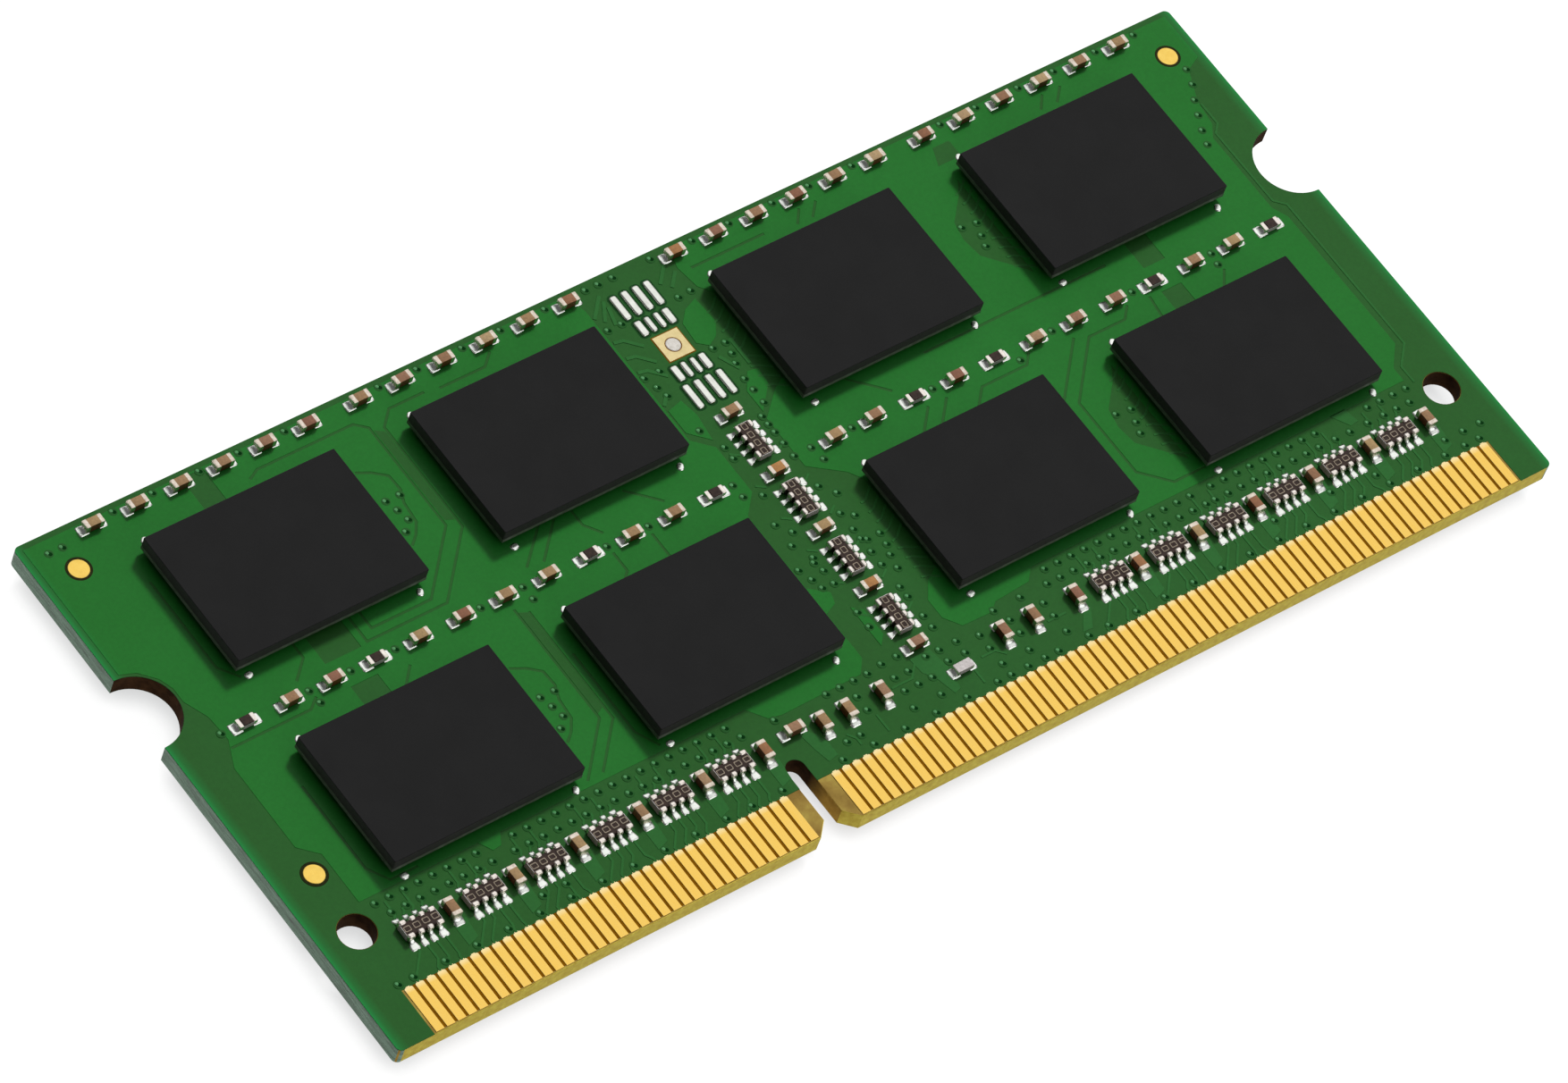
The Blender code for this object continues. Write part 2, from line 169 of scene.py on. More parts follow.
def plate(loops, low, high, edge=0.0, slot=0, shape=None):
    """A flat plate with holes: the first loop is its rim. Its upper edges are chamfered."""
    shape = shape or Shape()
    loops = [loop if (area(loop) > 0) == (i == 0) else loop[::-1] for i, loop in enumerate(loops)]
    upper = [inset(loop, edge) for loop in loops] if edge else loops
    for loop, top in zip(loops, upper):
        rings = [[(x, y, low) for x, y in loop], [(x, y, high - edge) for x, y in loop]]
        if edge:
            rings.append([(x, y, high) for x, y in top])
        shape.add([p for ring in rings for p in ring], skin(len(rings), len(loop)), slot)
    for outline, z, up in ((upper, high, True), (loops, low, False)):
        flat = [p for loop in outline for p in loop]
        triangles = tessellate_polygon([[Vector((x, y, 0)) for x, y in loop] for loop in outline])
        facing = [t if (area([flat[i] for i in t]) > 0) == up else t[::-1] for t in triangles]
        shape.add([(x, y, z) for x, y in flat], facing, slot)
    return shape


def mound(outline, height, rim, slot=0, fall=0.0, shape=None):
    """A domed deposit; its height can fall off towards +X by some part of itself."""
    shape = shape or Shape()
    outline = outline if area(outline) > 0 else outline[::-1]
    xs = [x for x, y in outline]
    reach = max(xs) - min(xs)
    rings = []
    for along, up in ((0.0, 0.0), (0.0, 0.35), (0.3, 0.75), (0.65, 0.93), (1.0, 1.0)):
        ring = inset(outline, rim * along)
        rings.append([(x, y, height * up * (1 - fall * (x - min(xs)) / reach)) for x, y in ring])
    n = len(outline)
    faces = skin(len(rings), n)
    faces.append(tuple(range((len(rings) - 1) * n, len(rings) * n)))
    return shape.add([p for ring in rings for p in ring], faces, slot)


def ribbon(points, width):
    """The closed outline of a track of some width along a path of straight runs."""
    left, right = [], []
    for i, (x, y) in enumerate(points):
        before = Vector(points[i]) - Vector(points[i - 1]) if i else None
        after = Vector(points[i + 1]) - Vector(points[i]) if i + 1 < len(points) else None
        d0 = (before or after).normalized()
        d1 = (after or before).normalized()
        n = Vector((-d0.y, d0.x)) + Vector((-d1.y, d1.x))
        n.normalize()
        reach = width / 2 / max(0.4, n.dot(Vector((-d0.y, d0.x))))
        left.append((x + n.x * reach, y + n.y * reach))
        right.append((x - n.x * reach, y - n.y * reach))
    return right + left[::-1]


def rounded_box(length, width, height, edge, segments=2, slot=0, z=0.0):
    """A box with rounded edges, standing on z, centred in x and y."""
    bm = bmesh.new()
    bmesh.ops.create_cube(bm, size=1.0)
    bmesh.ops.scale(bm, vec=(length, width, height), verts=bm.verts)
    bmesh.ops.bevel(bm, geom=bm.edges[:], offset=edge, segments=segments, profile=0.5,
                    affect="EDGES", clamp_overlap=True)
    bmesh.ops.translate(bm, vec=(0, 0, z + height / 2), verts=bm.verts)
    bm.verts.index_update()
    faces = [[v.index for v in f.verts] for f in bm.faces]
    made = Shape().add([v.co for v in bm.verts], faces, slot)
    bm.free()
    return made


def turned(profile, steps=16, slot=0):
    """A profile of (radius, z), outermost point first, turned about Z."""
    made = Shape()
    rings = [circle(0, 0, station[0], steps) if station[0] > 1e-9 else None for station in profile]
    for k in range(len(profile) - 1):
        outer = [(x, y, profile[k][1]) for x, y in rings[k]]
        if rings[k + 1] is None:
            faces = [(i, (i + 1) % steps, steps) for i in range(steps)]
            made.add(outer + [(0, 0, profile[k + 1][1])], faces, slot)
        else:
            inner = [(x, y, profile[k + 1][1]) for x, y in rings[k + 1]]
            faces = [(i, (i + 1) % steps, steps + (i + 1) % steps, steps + i) for i in range(steps)]
            made.add(outer + inner, faces, slot)
    return made


def extruded(profile, width, slot=0):
    """A closed (y, z) profile drawn out along X, centred."""
    n = len(profile)
    points = [(x, y, z) for x in (-width / 2, width / 2) for y, z in profile]
    faces = [((i + 1) % n, n + (i + 1) % n, n + i, i) for i in range(n)]
    faces += [tuple(range(n - 1, -1, -1)), tuple(range(n, 2 * n))]
    return Shape().add(points, faces, slot)


# Materials ------------------------------------------------------------------------------------

def principled(name, colour, roughness, metallic=0.0, specular=0.5):
    """A new material; returns it with its node tree and shader."""
    made = bpy.data.materials.new(name)
    made.use_nodes = True
    tree = made.node_tree
    shader = tree.nodes["Principled BSDF"]
    shader.inputs["Base Color"].default_value = (*colour, 1.0)
    shader.inputs["Roughness"].default_value = roughness
    shader.inputs["Metallic"].default_value = metallic
    shader.inputs["Specular IOR Level"].default_value = specular
    return made, tree, shader


def grey(value):
    return (value, value, value)


def attach(tree, kind, inputs, **settings):
    """A node with its settings, and its inputs linked to sockets or set to plain values."""
    node = tree.nodes.new(kind)
    for key, value in settings.items():
        setattr(node, key, value)
    for key, value in inputs.items():
        if isinstance(value, bpy.types.NodeSocket):
            tree.links.new(value, node.inputs[key])
        else:
            node.inputs[key].default_value = value
    return node


def place_of(tree, stretch=(1, 1, 1)):
    """The surface point in millimetres, optionally stretched along each axis."""
    point = tree.nodes.new("ShaderNodeTexCoord").outputs["Object"]
    scale = [s / MM for s in stretch]
    return attach(tree, "ShaderNodeMapping", {"Vector": point, "Scale": scale}).outputs["Vector"]


def noise(tree, where, scale, detail=3.0, roughness=0.55):
    inputs = {"Vector": where, "Scale": scale, "Detail": detail, "Roughness": roughness}
    return attach(tree, "ShaderNodeTexNoise", inputs).outputs["Fac"]


def ramp(tree, value, stops):
    """Colours along a value: stops are (position, colour)."""
    node = attach(tree, "ShaderNodeValToRGB", {"Fac": value})
    elements = node.color_ramp.elements
    while len(elements) < len(stops):
        elements.new(0.5)
    for element, (position, colour) in zip(elements, stops):
        element.position = position
        element.color = (*colour, 1.0)
    return node.outputs["Color"]


def fade(tree, value, start, end, low=0.0, high=1.0):
    """From low at start to high at end, straight between them and level beyond."""
    inputs = {"Value": value, "From Min": start, "From Max": end, "To Min": low, "To Max": high}
    return attach(tree, "ShaderNodeMapRange", inputs).outputs["Result"]


def spread(tree, value, low, high):
    """A noise value carried to a range."""
    return fade(tree, value, 0.3, 0.7, low, high)


def blend(tree, factor, first, second, mode="MIX"):
    """Mix two colours, each a socket or a plain colour."""
    first, second = (value if isinstance(value, bpy.types.NodeSocket) else (*value, 1.0)
                     for value in (first, second))
    inputs = {"Factor": factor, 6: first, 7: second}
    return attach(tree, "ShaderNodeMix", inputs, data_type="RGBA", blend_type=mode).outputs[2]


def axis_of(tree, where, axis, absolute=False):
    """One coordinate of a point, or its distance from the board's middle."""
    value = attach(tree, "ShaderNodeSeparateXYZ", {"Vector": where}).outputs[axis]
    if absolute:
        value = attach(tree, "ShaderNodeMath", {0: value}, operation="ABSOLUTE").outputs[0]
    return value


def cover(tree, shader, colour, height, depth, roughness=None):
    """Give the shader a colour, a bump (its depth in millimetres) and perhaps a roughness."""
    tree.links.new(colour, shader.inputs["Base Color"])
    if roughness is not None:
        tree.links.new(roughness, shader.inputs["Roughness"])
    bump = attach(tree, "ShaderNodeBump", {"Height": height, "Distance": depth * MM})
    tree.links.new(bump.outputs["Normal"], shader.inputs["Normal"])


def mask_material(name, dark, light):
    """Solder mask: semi-gloss green resin with faint mottling and a painted glow at the board's
    ends.
    """
    made, tree, shader = principled(name, light, 0.34, specular=0.14)
    where = place_of(tree)
    cloud = ramp(tree, noise(tree, where, 0.12, 4.0), [(0.3, dark), (0.7, light)])
    grain = ramp(tree, noise(tree, where, 6.0, 2.0), [(0.35, grey(0.95)), (0.65, grey(1.04))])
    colour = blend(tree, 1.0, cloud, grain, "MULTIPLY")
    # Painted glow: within 0.6 mm of the board's two ends the mask turns a brighter green.
    stops = [(0.0, grey(0.0)), (0.6, grey(0.35)), (1.0, grey(1.0))]
    end = fade(tree, axis_of(tree, where, "X", True), LENGTH / 2 - 0.6, LENGTH / 2)
    colour = blend(tree, ramp(tree, end, stops), colour, PAINTED_EDGE_GLOW)
    gloss = spread(tree, noise(tree, where, 1.5), 0.3, 0.38)
    cover(tree, shader, colour, noise(tree, where, 2.2, 3.0), 0.0016, gloss)
    return made


def cut_glass_material(name, base, roughness, specular, layering, grain, stops):
    """Cut glass-epoxy: thin layers that stretch along the board, frayed along the cut."""
    made, tree, shader = principled(name, base, roughness, specular=specular)
    strands = noise(tree, place_of(tree, layering), *grain)
    cover(tree, shader, ramp(tree, strands, stops), strands, 0.03)
    return made


def laminate_material():
    """Bare laminate: olive resin with lighter glass layers."""
    stops = [(0.3, (0.17, 0.10, 0.02)), (0.5, (0.25, 0.165, 0.034)), (0.72, (0.37, 0.29, 0.06))]
    return cut_glass_material("glass_epoxy", (0.30, 0.21, 0.05), 0.6, 0.15, (0.6, 0.6, 9.0),
                              (1.1, 5.0, 0.6), stops)


def edge_material():
    """The routed ends and the upper long edge: laminate greyed by a film of resin and mask."""
    stops = [(0.3, (0.06, 0.08, 0.06)), (0.5, (0.11, 0.20, 0.13)), (0.75, (0.22, 0.33, 0.25))]
    return cut_glass_material("routed_edge", (0.16, 0.22, 0.15), 0.55, 0.4, (0.7, 0.7, 8.0),
                              (1.2, 5.0, 0.65), stops)


def metal_material(name, dark, light, roughness, grain, depth):
    """Plated or soldered metal with a fine grain."""
    made, tree, shader = principled(name, light, roughness, metallic=1.0)
    where = place_of(tree)
    texture = noise(tree, where, grain, 3.0)
    colour = ramp(tree, texture, [(0.3, dark), (0.7, light)])
    haze = spread(tree, noise(tree, where, grain * 0.6), roughness - 0.08, roughness + 0.1)
    cover(tree, shader, colour, texture, depth, haze)
    return made


def mould_material():
    """Black epoxy mould compound: fine sandy grain with a few paler filler specks."""
    made, tree, shader = principled("mould_compound", (0.0095, 0.0095, 0.01), 0.62, specular=0.14)
    where = place_of(tree)
    fine = noise(tree, where, 14.0, 3.0, 0.7)
    stops = [(0.3, (0.0085, 0.0085, 0.0086)), (0.7, (0.0098, 0.0098, 0.0099))]
    broad = ramp(tree, noise(tree, where, 0.5, 2.0), stops)
    specks = ramp(tree, fine, [(0.55, grey(1.0)), (0.78, grey(1.7))])
    colour = blend(tree, 1.0, broad, specks, "MULTIPLY")
    cover(tree, shader, colour, fine, 0.003, spread(tree, fine, 0.52, 0.72))
    return made


def ceramic_material():
    """Capacitor ceramic: each chip has its own tan or red-brown tone; its sides are darker and
    redder, painted shade.
    """
    made, tree, shader = principled("capacitor_ceramic", (0.4, 0.22, 0.11), 0.45, specular=0.4)
    where = place_of(tree)
    island = tree.nodes.new("ShaderNodeNewGeometry").outputs["Random Per Island"]
    tones = ramp(tree, island, [(0.0, (0.36, 0.17, 0.045)), (0.25, (0.165, 0.066, 0.036)),
                                (0.5, (0.30, 0.20, 0.085)), (0.75, (0.185, 0.076, 0.044)),
                                (1.0, (0.32, 0.22, 0.11))])
    grain = ramp(tree, noise(tree, where, 9.0, 3.0), [(0.3, grey(0.82)), (0.7, grey(1.1))])
    # Painted shade: faces that stand upright by their normal are darkened and reddened.
    normal = tree.nodes.new("ShaderNodeTexCoord").outputs["Normal"]
    level = fade(tree, axis_of(tree, normal, "Z", True), 0.2, 0.8)
    cut = ramp(tree, level, [(0.0, (0.5, 0.32, 0.26)), (1.0, grey(1.0))])
    tops = blend(tree, 1.0, tones, grain, "MULTIPLY")
    colour = blend(tree, 1.0, tops, cut, "MULTIPLY")
    cover(tree, shader, colour, noise(tree, where, 12.0), 0.006)
    return made


def bore_material():
    """Routed walls: dark brown, paling to lighter brown laminate towards the contact edge."""
    made, tree, shader = principled("routed_bore", (0.05, 0.02, 0.008), 0.75, specular=0.02)
    where = place_of(tree)
    grain = noise(tree, where, 2.0, 4.0)
    dark_brown = ramp(tree, grain, [(0.3, (0.018, 0.007, 0.002)), (0.7, (0.05, 0.022, 0.008))])
    light_brown = ramp(tree, grain, [(0.3, (0.31, 0.18, 0.03)), (0.7, (0.45, 0.29, 0.06))])
    up = fade(tree, axis_of(tree, where, "Y"), 1.7 - WIDTH / 2, 3.0 - WIDTH / 2)
    cover(tree, shader, blend(tree, up, light_brown, dark_brown), grain, 0.02)
    return made


def contact_material():
    """Hard gold with fine lengthwise brushing, paler at the tips under the mask's edge."""
    made, tree, shader = principled("hard_gold", (1.0, 0.67, 0.16), 0.3, metallic=1.0)
    where = place_of(tree, (2.0, 0.25, 1.0))
    brushing = noise(tree, where, 5.0, 3.0)
    gold = ramp(tree, brushing, [(0.3, (0.94, 0.60, 0.12)), (0.7, (1.0, 0.67, 0.16))])
    along = axis_of(tree, place_of(tree), "Y")
    tip = fade(tree, along, CONTACT_LENGTH - 0.3 - WIDTH / 2, CONTACT_LENGTH - WIDTH / 2)
    colour = blend(tree, tip, gold, (1.0, 0.82, 0.44))
    cover(tree, shader, colour, brushing, 0.002, spread(tree, brushing, 0.22, 0.4))
    return made


def grained_material(name, dark, light, roughness, grain, specular=0.4, depth=0.004):
    """A plain hard surface with a little variation."""
    made, tree, shader = principled(name, light, roughness, specular=specular)
    texture = noise(tree, place_of(tree), grain, 3.0)
    colour = ramp(tree, texture, [(0.3, dark), (0.7, light)])
    cover(tree, shader, colour, texture, depth,
          spread(tree, texture, roughness - 0.06, roughness + 0.06))
    return made


PAINTED_EDGE_GLOW = (0.008, 0.18, 0.036)                          # painted glow of light through the laminate at the board's ends
# Each row: name, darker and lighter colour
MASKS = {
    "mask_bare": ("mask_over_laminate", (0.013, 0.074, 0.011), (0.014, 0.085, 0.014)),
    "mask_copper": ("mask_over_copper", (0.008, 0.112, 0.012), (0.010, 0.124, 0.015)),
    "mask_track": ("mask_over_track", (0.014, 0.094, 0.016), (0.017, 0.106, 0.02)),
}
# The same, then roughness, grain per millimetre, bump depth in millimetres
METALS = {
    "pale_gold": ("pale_gold", (0.77, 0.63, 0.31), (0.86, 0.71, 0.37), 0.34, 4.0, 0.002),
    "pad_gold": ("pad_gold", (0.96, 0.64, 0.13), (1.0, 0.70, 0.16), 0.32, 4.0, 0.002),
    "solder": ("solder", (0.88, 0.92, 0.85), (0.98, 1.0, 0.96), 0.25, 5.0, 0.006),
    "tin": ("tin_plate", (0.84, 0.76, 0.69), (1.0, 0.93, 0.86), 0.3, 9.0, 0.006),
    "dull_tin": ("dull_tin", (0.66, 0.56, 0.46), (0.94, 0.84, 0.73), 0.36, 9.0, 0.006),
    "pad_tin": ("pad_tin", (0.78, 0.79, 0.73), (0.90, 0.91, 0.85), 0.3, 3.0, 0.006),
    "dull_solder": ("dull_solder", (0.67, 0.64, 0.57), (0.83, 0.79, 0.74), 0.35, 6.0, 0.01),
    "ball": ("solder_ball", (0.45, 0.45, 0.46), (0.6, 0.6, 0.61), 0.4, 5.0, 0.01),
    "silicon": ("silicon", (0.20, 0.21, 0.24), (0.26, 0.27, 0.31), 0.3, 3.0, 0.002),
}
# The same, then roughness, grain per millimetre, and for some specular level and bump depth
HARD_SURFACES = {
    "via_ring": ("via_ring", (0.010, 0.066, 0.011), (0.013, 0.08, 0.014), 0.35, 6.0, 0.12),
    # a real swelling, its lighter green a painted highlight
    "via_painted_highlight": ("via_painted_highlight", (0.03, 0.16, 0.04), (0.05, 0.22, 0.07), 0.2, 6.0, 0.5),
    "clearance": ("mask_clearance", (0.006, 0.035, 0.008), (0.009, 0.05, 0.012), 0.5, 6.0, 0.05),
    # a dark dot: painted shade of the via's dimple
    "via_painted_shade": ("via_painted_shade", (0.002, 0.02, 0.004), (0.004, 0.03, 0.006), 0.9, 6.0, 0.0),
    # dark bed: the contacts' gap laminate darkened as painted shade, and the bare laminate rim
    # round the footprint's land
    "dark_laminate_and_painted_shade": ("dark_laminate_and_painted_shade", (0.13, 0.05, 0.001), (0.18, 0.07, 0.001), 0.8, 4.0, 0.0),
    "contact_edge": ("bevelled_edge", (0.43, 0.31, 0.035), (0.58, 0.48, 0.075), 0.6, 3.0, 0.05),
    "moat": ("fiducial_clearance", (0.010, 0.012, 0.003), (0.018, 0.020, 0.005), 0.5, 6.0, 0.05),
    # sawn sides: lighter than the top, partly from the sawn finish and partly painted light on the
    # walls
    "sawn": ("sawn_compound_and_painted_light", (0.036, 0.035, 0.034), (0.050, 0.049, 0.047), 0.7, 9.0, 0.15, 0.006),
    "substrate": ("package_laminate", (0.07, 0.085, 0.06), (0.13, 0.16, 0.12), 0.5, 3.0),
    "alumina": ("alumina", (0.37, 0.34, 0.33), (0.52, 0.48, 0.47), 0.55, 8.0),
    "glaze_seam": ("glaze_seam", (0.16, 0.13, 0.09), (0.26, 0.21, 0.16), 0.5, 8.0),
    "glaze": ("resistor_glaze", (0.016, 0.009, 0.007), (0.035, 0.02, 0.015), 0.35, 6.0, 0.2),
}
MATERIALS = {
    "bore": bore_material(),
    "laminate": laminate_material(),
    "edge": edge_material(),
    "gold": contact_material(),
    "mould": mould_material(),
    "ceramic": ceramic_material(),
}
for make, rows in ((mask_material, MASKS), (metal_material, METALS),
                   (grained_material, HARD_SURFACES)):
    MATERIALS.update({key: make(*values) for key, values in rows.items()})


def build_mesh(name, points, faces, slots, materials):
    """A mesh that is smooth but for its sharp edges."""
    mesh = bpy.data.meshes.new(name)
    mesh.from_pydata(points, [], faces)
    mesh.polygons.foreach_set("material_index", slots)
    for key in materials:
        mesh.materials.append(MATERIALS[key])
    mesh.shade_smooth()
    mesh.set_sharp_from_angle(angle=math.radians(40))
    return mesh


def settle(made, nodes):
    """Put an object in the scene, ride it on the module and hide the parts that it stands for."""
    bpy.context.scene.collection.objects.link(made)
    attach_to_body(made, "root")
    if nodes:
        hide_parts(*nodes)


def piece(name, shape, side, materials, nodes=()):
    """Make a shape into a piece on one face of the board."""
    points = [((x - LENGTH / 2) * MM, (y - WIDTH / 2) * MM, (MID_Z + side * (FACE + z)) * MM)
              for x, y, z in shape.points]
    faces = shape.faces if side == FRONT else [f[::-1] for f in shape.faces]
    mesh = build_mesh(name, points, faces, shape.slots, materials)
    settle(bpy.data.objects.new(name, mesh), nodes)


# Board ----------------------------------------------------------------------------------------

def key_slot():
    return arc(KEY_X, KEY_DEPTH - KEY_WIDTH / 2, KEY_WIDTH / 2, 180, 0)


def ends_and_top():
    """The board's rim from the lower right corner round to the lower left one."""
    r = CORNER_RADIUS
    rim = arc(LENGTH - r, r, r, -90, 0, 5) + arc(LENGTH, NOTCH_Y, NOTCH_RADIUS, 270, 90, 28)
    rim += arc(LENGTH - r, WIDTH - r, r, 0, 90, 5) + arc(r, WIDTH - r, r, 90, 180, 5)
    return rim + arc(0, NOTCH_Y, NOTCH_RADIUS, 90, -90, 28) + arc(r, r, r, 180, 270, 5)


def tooling_holes(radius):
    return [circle(x, HOLE_Y, radius) for x in (HOLE_INSET, LENGTH - HOLE_INSET)]


def wall_slot(x, y):
    """Which finish the wall of the board has at a place: bevelled, cut or routed."""
    if y < KEY_CHAMFER and MASK_FLANK < x < LENGTH - MASK_FLANK:
        return 1
    outside = min(x, LENGTH - x, WIDTH - y, y) < 0.05
    return 2 if outside else 3


def make_board():
    """The laminate between the two mask faces, with its edges broken."""
    left, right = KEY_X - KEY_WIDTH / 2, KEY_X + KEY_WIDTH / 2
    slot = [(left - KEY_CHAMFER, 0), (left, KEY_CHAMFER)] + key_slot()
    slot += [(right, KEY_CHAMFER), (right + KEY_CHAMFER, 0)]
    depth = 2 * (FACE - MASK_THICKNESS)
    core = plate([slot + ends_and_top()] + tooling_holes(HOLE_RADIUS),
                 -depth - MASK_THICKNESS, -MASK_THICKNESS, 0.03)
    for i, face in enumerate(core.faces):
        if len({round(core.points[k][2], 3) for k in face}) > 1:
            centre = [sum(core.points[k][axis] for k in face) / len(face) for axis in (0, 1)]
            core.slots[i] = wall_slot(*centre)
    piece("circuit_board", core, FRONT, ("laminate", "contact_edge", "edge", "bore"),
          ["pcb_laminate"])


def footprint_pads():
    """Outlines of the empty footprint: long pads for a wide chip, short ones for a narrow chip."""
    pads = []
    for end in (-1, 1):
        for i in (-1.5, -0.5, 0.5, 1.5):
            long_x, long_y = FOOTPRINT_X + i * 0.65 - 0.03 * end, FOOTPRINT_Y + end * 2.83
            short_x, short_y = FOOTPRINT_X + i * 0.54, FOOTPRINT_Y + end * 1.43
            half = 0.21 if abs(i) > 1 else 0.16
            pads.append(rounded(long_x - 0.2, long_y - 0.73, long_x + 0.2, long_y + 0.73, 0.13))
            pads.append(rounded(short_x - half, short_y - 0.45, short_x + half, short_y + 0.45,
                                0.12))
    return pads


def make_mask(side, face):
    """The solder mask, open over the contact strip and the tooling holes."""
    flank = LENGTH - MASK_FLANK
    strip = [(MASK_FLANK, 0), (MASK_FLANK, CONTACT_LENGTH), (KEY_X - KEY_WIDTH / 2, CONTACT_LENGTH)]
    strip += key_slot()
    strip += [(KEY_X + KEY_WIDTH / 2, CONTACT_LENGTH), (flank, CONTACT_LENGTH), (flank, 0)]
    shape = plate([strip + ends_and_top()] + tooling_holes(HOLE_RING), -MASK_THICKNESS, 0.0, 0.01)
    piece(f"solder_mask_{face}_skin", shape, side, ("mask_bare",),
          [f"solder_mask_{face}"])


# Copper under the mask ------------------------------------------------------------------------

LEFT_PLANE = [(0.35, 29.7), (0.35, 22.15), (1.15, 21.85), (1.85, 21.1), (2.12, 20.4), (2.12, 19.6),
              (2.65, 18.4), (2.75, 17.0), (2.1, 15.6), (2.1, 10.9), (2.95, 10.05), (2.95, 7.2),
              (24.6, 7.2), (25.3, 6.3), (26.0, 6.15), (30.6, 6.2), (31.2, 6.9), (31.2, 9.6),
              (31.9, 9.9), (32.1, 10.5), (31.2, 11.2), (31.2, 15.7), (32.2, 16.7), (32.2, 19.5),
              (31.3, 20.4), (31.3, 28.6), (30.9, 29.7)]
RIGHT_PLANE = [(37.0, 29.7), (36.7, 28.6), (36.9, 27.3), (37.5, 26.6), (37.5, 21.3), (36.7, 20.9),
               (35.3, 19.7), (35.3, 16.7), (36.9, 15.5), (37.5, 14.6), (37.5, 9.4), (36.6, 8.9),
               (35.9, 8.0), (35.9, 6.9), (36.5, 6.1), (38.2, 6.05), (38.7, 6.45), (40.8, 6.6),
               (41.4, 7.2), (64.2, 7.2), (64.2, 8.0), (65.2, 9.1), (65.2, 17.4), (64.8, 18.2),
               (64.8, 22.8), (65.3, 23.5), (65.5, 24.9), (66.3, 26.6), (67.2, 27.0), (67.2, 29.7)]
GAP = 0.13                                                 # clearance between two copper areas
LEFT_GAPS = [
    [(2.6, 16.55), (7.0, 16.55), (7.6, 17.0)],
    [(12.0, 19.9), (12.0, 18.85), (15.35, 18.85), (18.35, 21.85), (18.35, 27.9), (17.8, 28.4),
     (12.4, 28.4), (11.8, 28.1)],
    [(11.4, 19.9), (11.4, 18.35), (15.9, 18.35), (19.0, 21.45), (19.0, 27.6), (19.8, 28.35),
     (21.8, 28.35)],
    [(18.4, 16.6), (18.4, 10.0), (15.9, 7.5)],
    [(18.95, 16.2), (18.95, 9.7), (16.8, 7.55)],
    [(7.3, 18.1), (8.3, 19.0), (8.3, 19.9)],
    [(20.3, 18.2), (22.2, 19.9)],
    [(21.2, 18.1), (23.0, 19.8)],
    [(24.35, 17.0), (24.35, 15.9), (23.6, 15.2)],
    [(26.6, 17.0), (26.6, 15.3)],
    [(24.6, 18.1), (24.0, 18.9), (24.0, 19.8)],
    [(12.4, 16.4), (11.6, 15.6), (11.6, 15.0)],
    [(28.2, 18.2), (26.8, 19.6)],
    [(22.6, 28.2), (25.2, 28.2), (25.9, 28.8)],
    [(4.25, 13.4), (4.25, 8.5), (4.9, 7.5), (6.4, 7.5)],
    [(4.5, 25.6), (4.5, 20.4), (5.2, 19.5)],
    [(19.4, 13.4), (19.4, 8.6), (20.0, 7.5)],
]
RIGHT_GAPS = [
    [(44.3, 19.25), (55.3, 19.25)],
    [(48.9, 17.0), (48.3, 16.4), (45.6, 16.4), (44.7, 15.5)],
    [(48.2, 13.5), (51.3, 16.6)],
    [(54.8, 16.9), (54.2, 16.3), (52.0, 16.3), (49.2, 13.5), (49.2, 9.1), (50.5, 7.8), (52.4, 7.8)],
    [(41.3, 15.4), (42.6, 16.7)],
    [(42.4, 15.4), (43.7, 16.7)],
    [(40.0, 19.8), (40.8, 19.0), (41.6, 18.2)],
    [(55.9, 15.4), (56.1, 16.8)],
    [(59.6, 15.4), (60.4, 16.4)],
    [(43.4, 28.0), (44.0, 28.7)],
    [(44.3, 28.0), (45.0, 28.7)],
    [(58.2, 28.0), (58.8, 28.7)],
    [(59.2, 28.0), (59.9, 28.7)],
    [(37.3, 28.3), (41.6, 28.3)],
]


def cluster_gap(x, y):
    """The clearance that curves round the vias beside a package."""
    run = ((0.0, 2.7), (0.7, 2.35), (1.3, 1.85), (1.35, 1.0), (1.05, 0.3), (0.95, -0.8),
           (0.5, -1.4), (0.0, -1.8))
    return [(x + dx, y + dy) for dx, dy in run]


def lens(x, y):
    """The bare strip at the left of a package, where its tracks leave."""
    run = ((0.0, -2.9), (0.0, 3.1), (-0.45, 2.4), (-1.7, 1.15), (-1.9, 0.15), (-1.75, -0.95),
           (-0.55, -2.25))
    return [(x + dx, y + dy) for dx, dy in run]


def openings():
    """What is cut out of the left and the right copper plane."""
    left = [rectangle(9.0, 18.25, 11.0, 19.9), rectangle(9.3, 15.3, 10.8, 16.7),
            rectangle(9.0, 27.0, 10.2, 29.6)]
    right = [rectangle(56.9, 18.25, 58.2, 19.9), rectangle(56.8, 15.2, 58.0, 16.75)]
    for y in PACKAGE_ROWS:
        left.append(ribbon(cluster_gap(16.3, y), GAP))
        right.append(lens(51.95, y))
    left += [ribbon(path, GAP) for path in LEFT_GAPS]
    right += [ribbon(path, GAP) for path in RIGHT_GAPS]
    return left, right


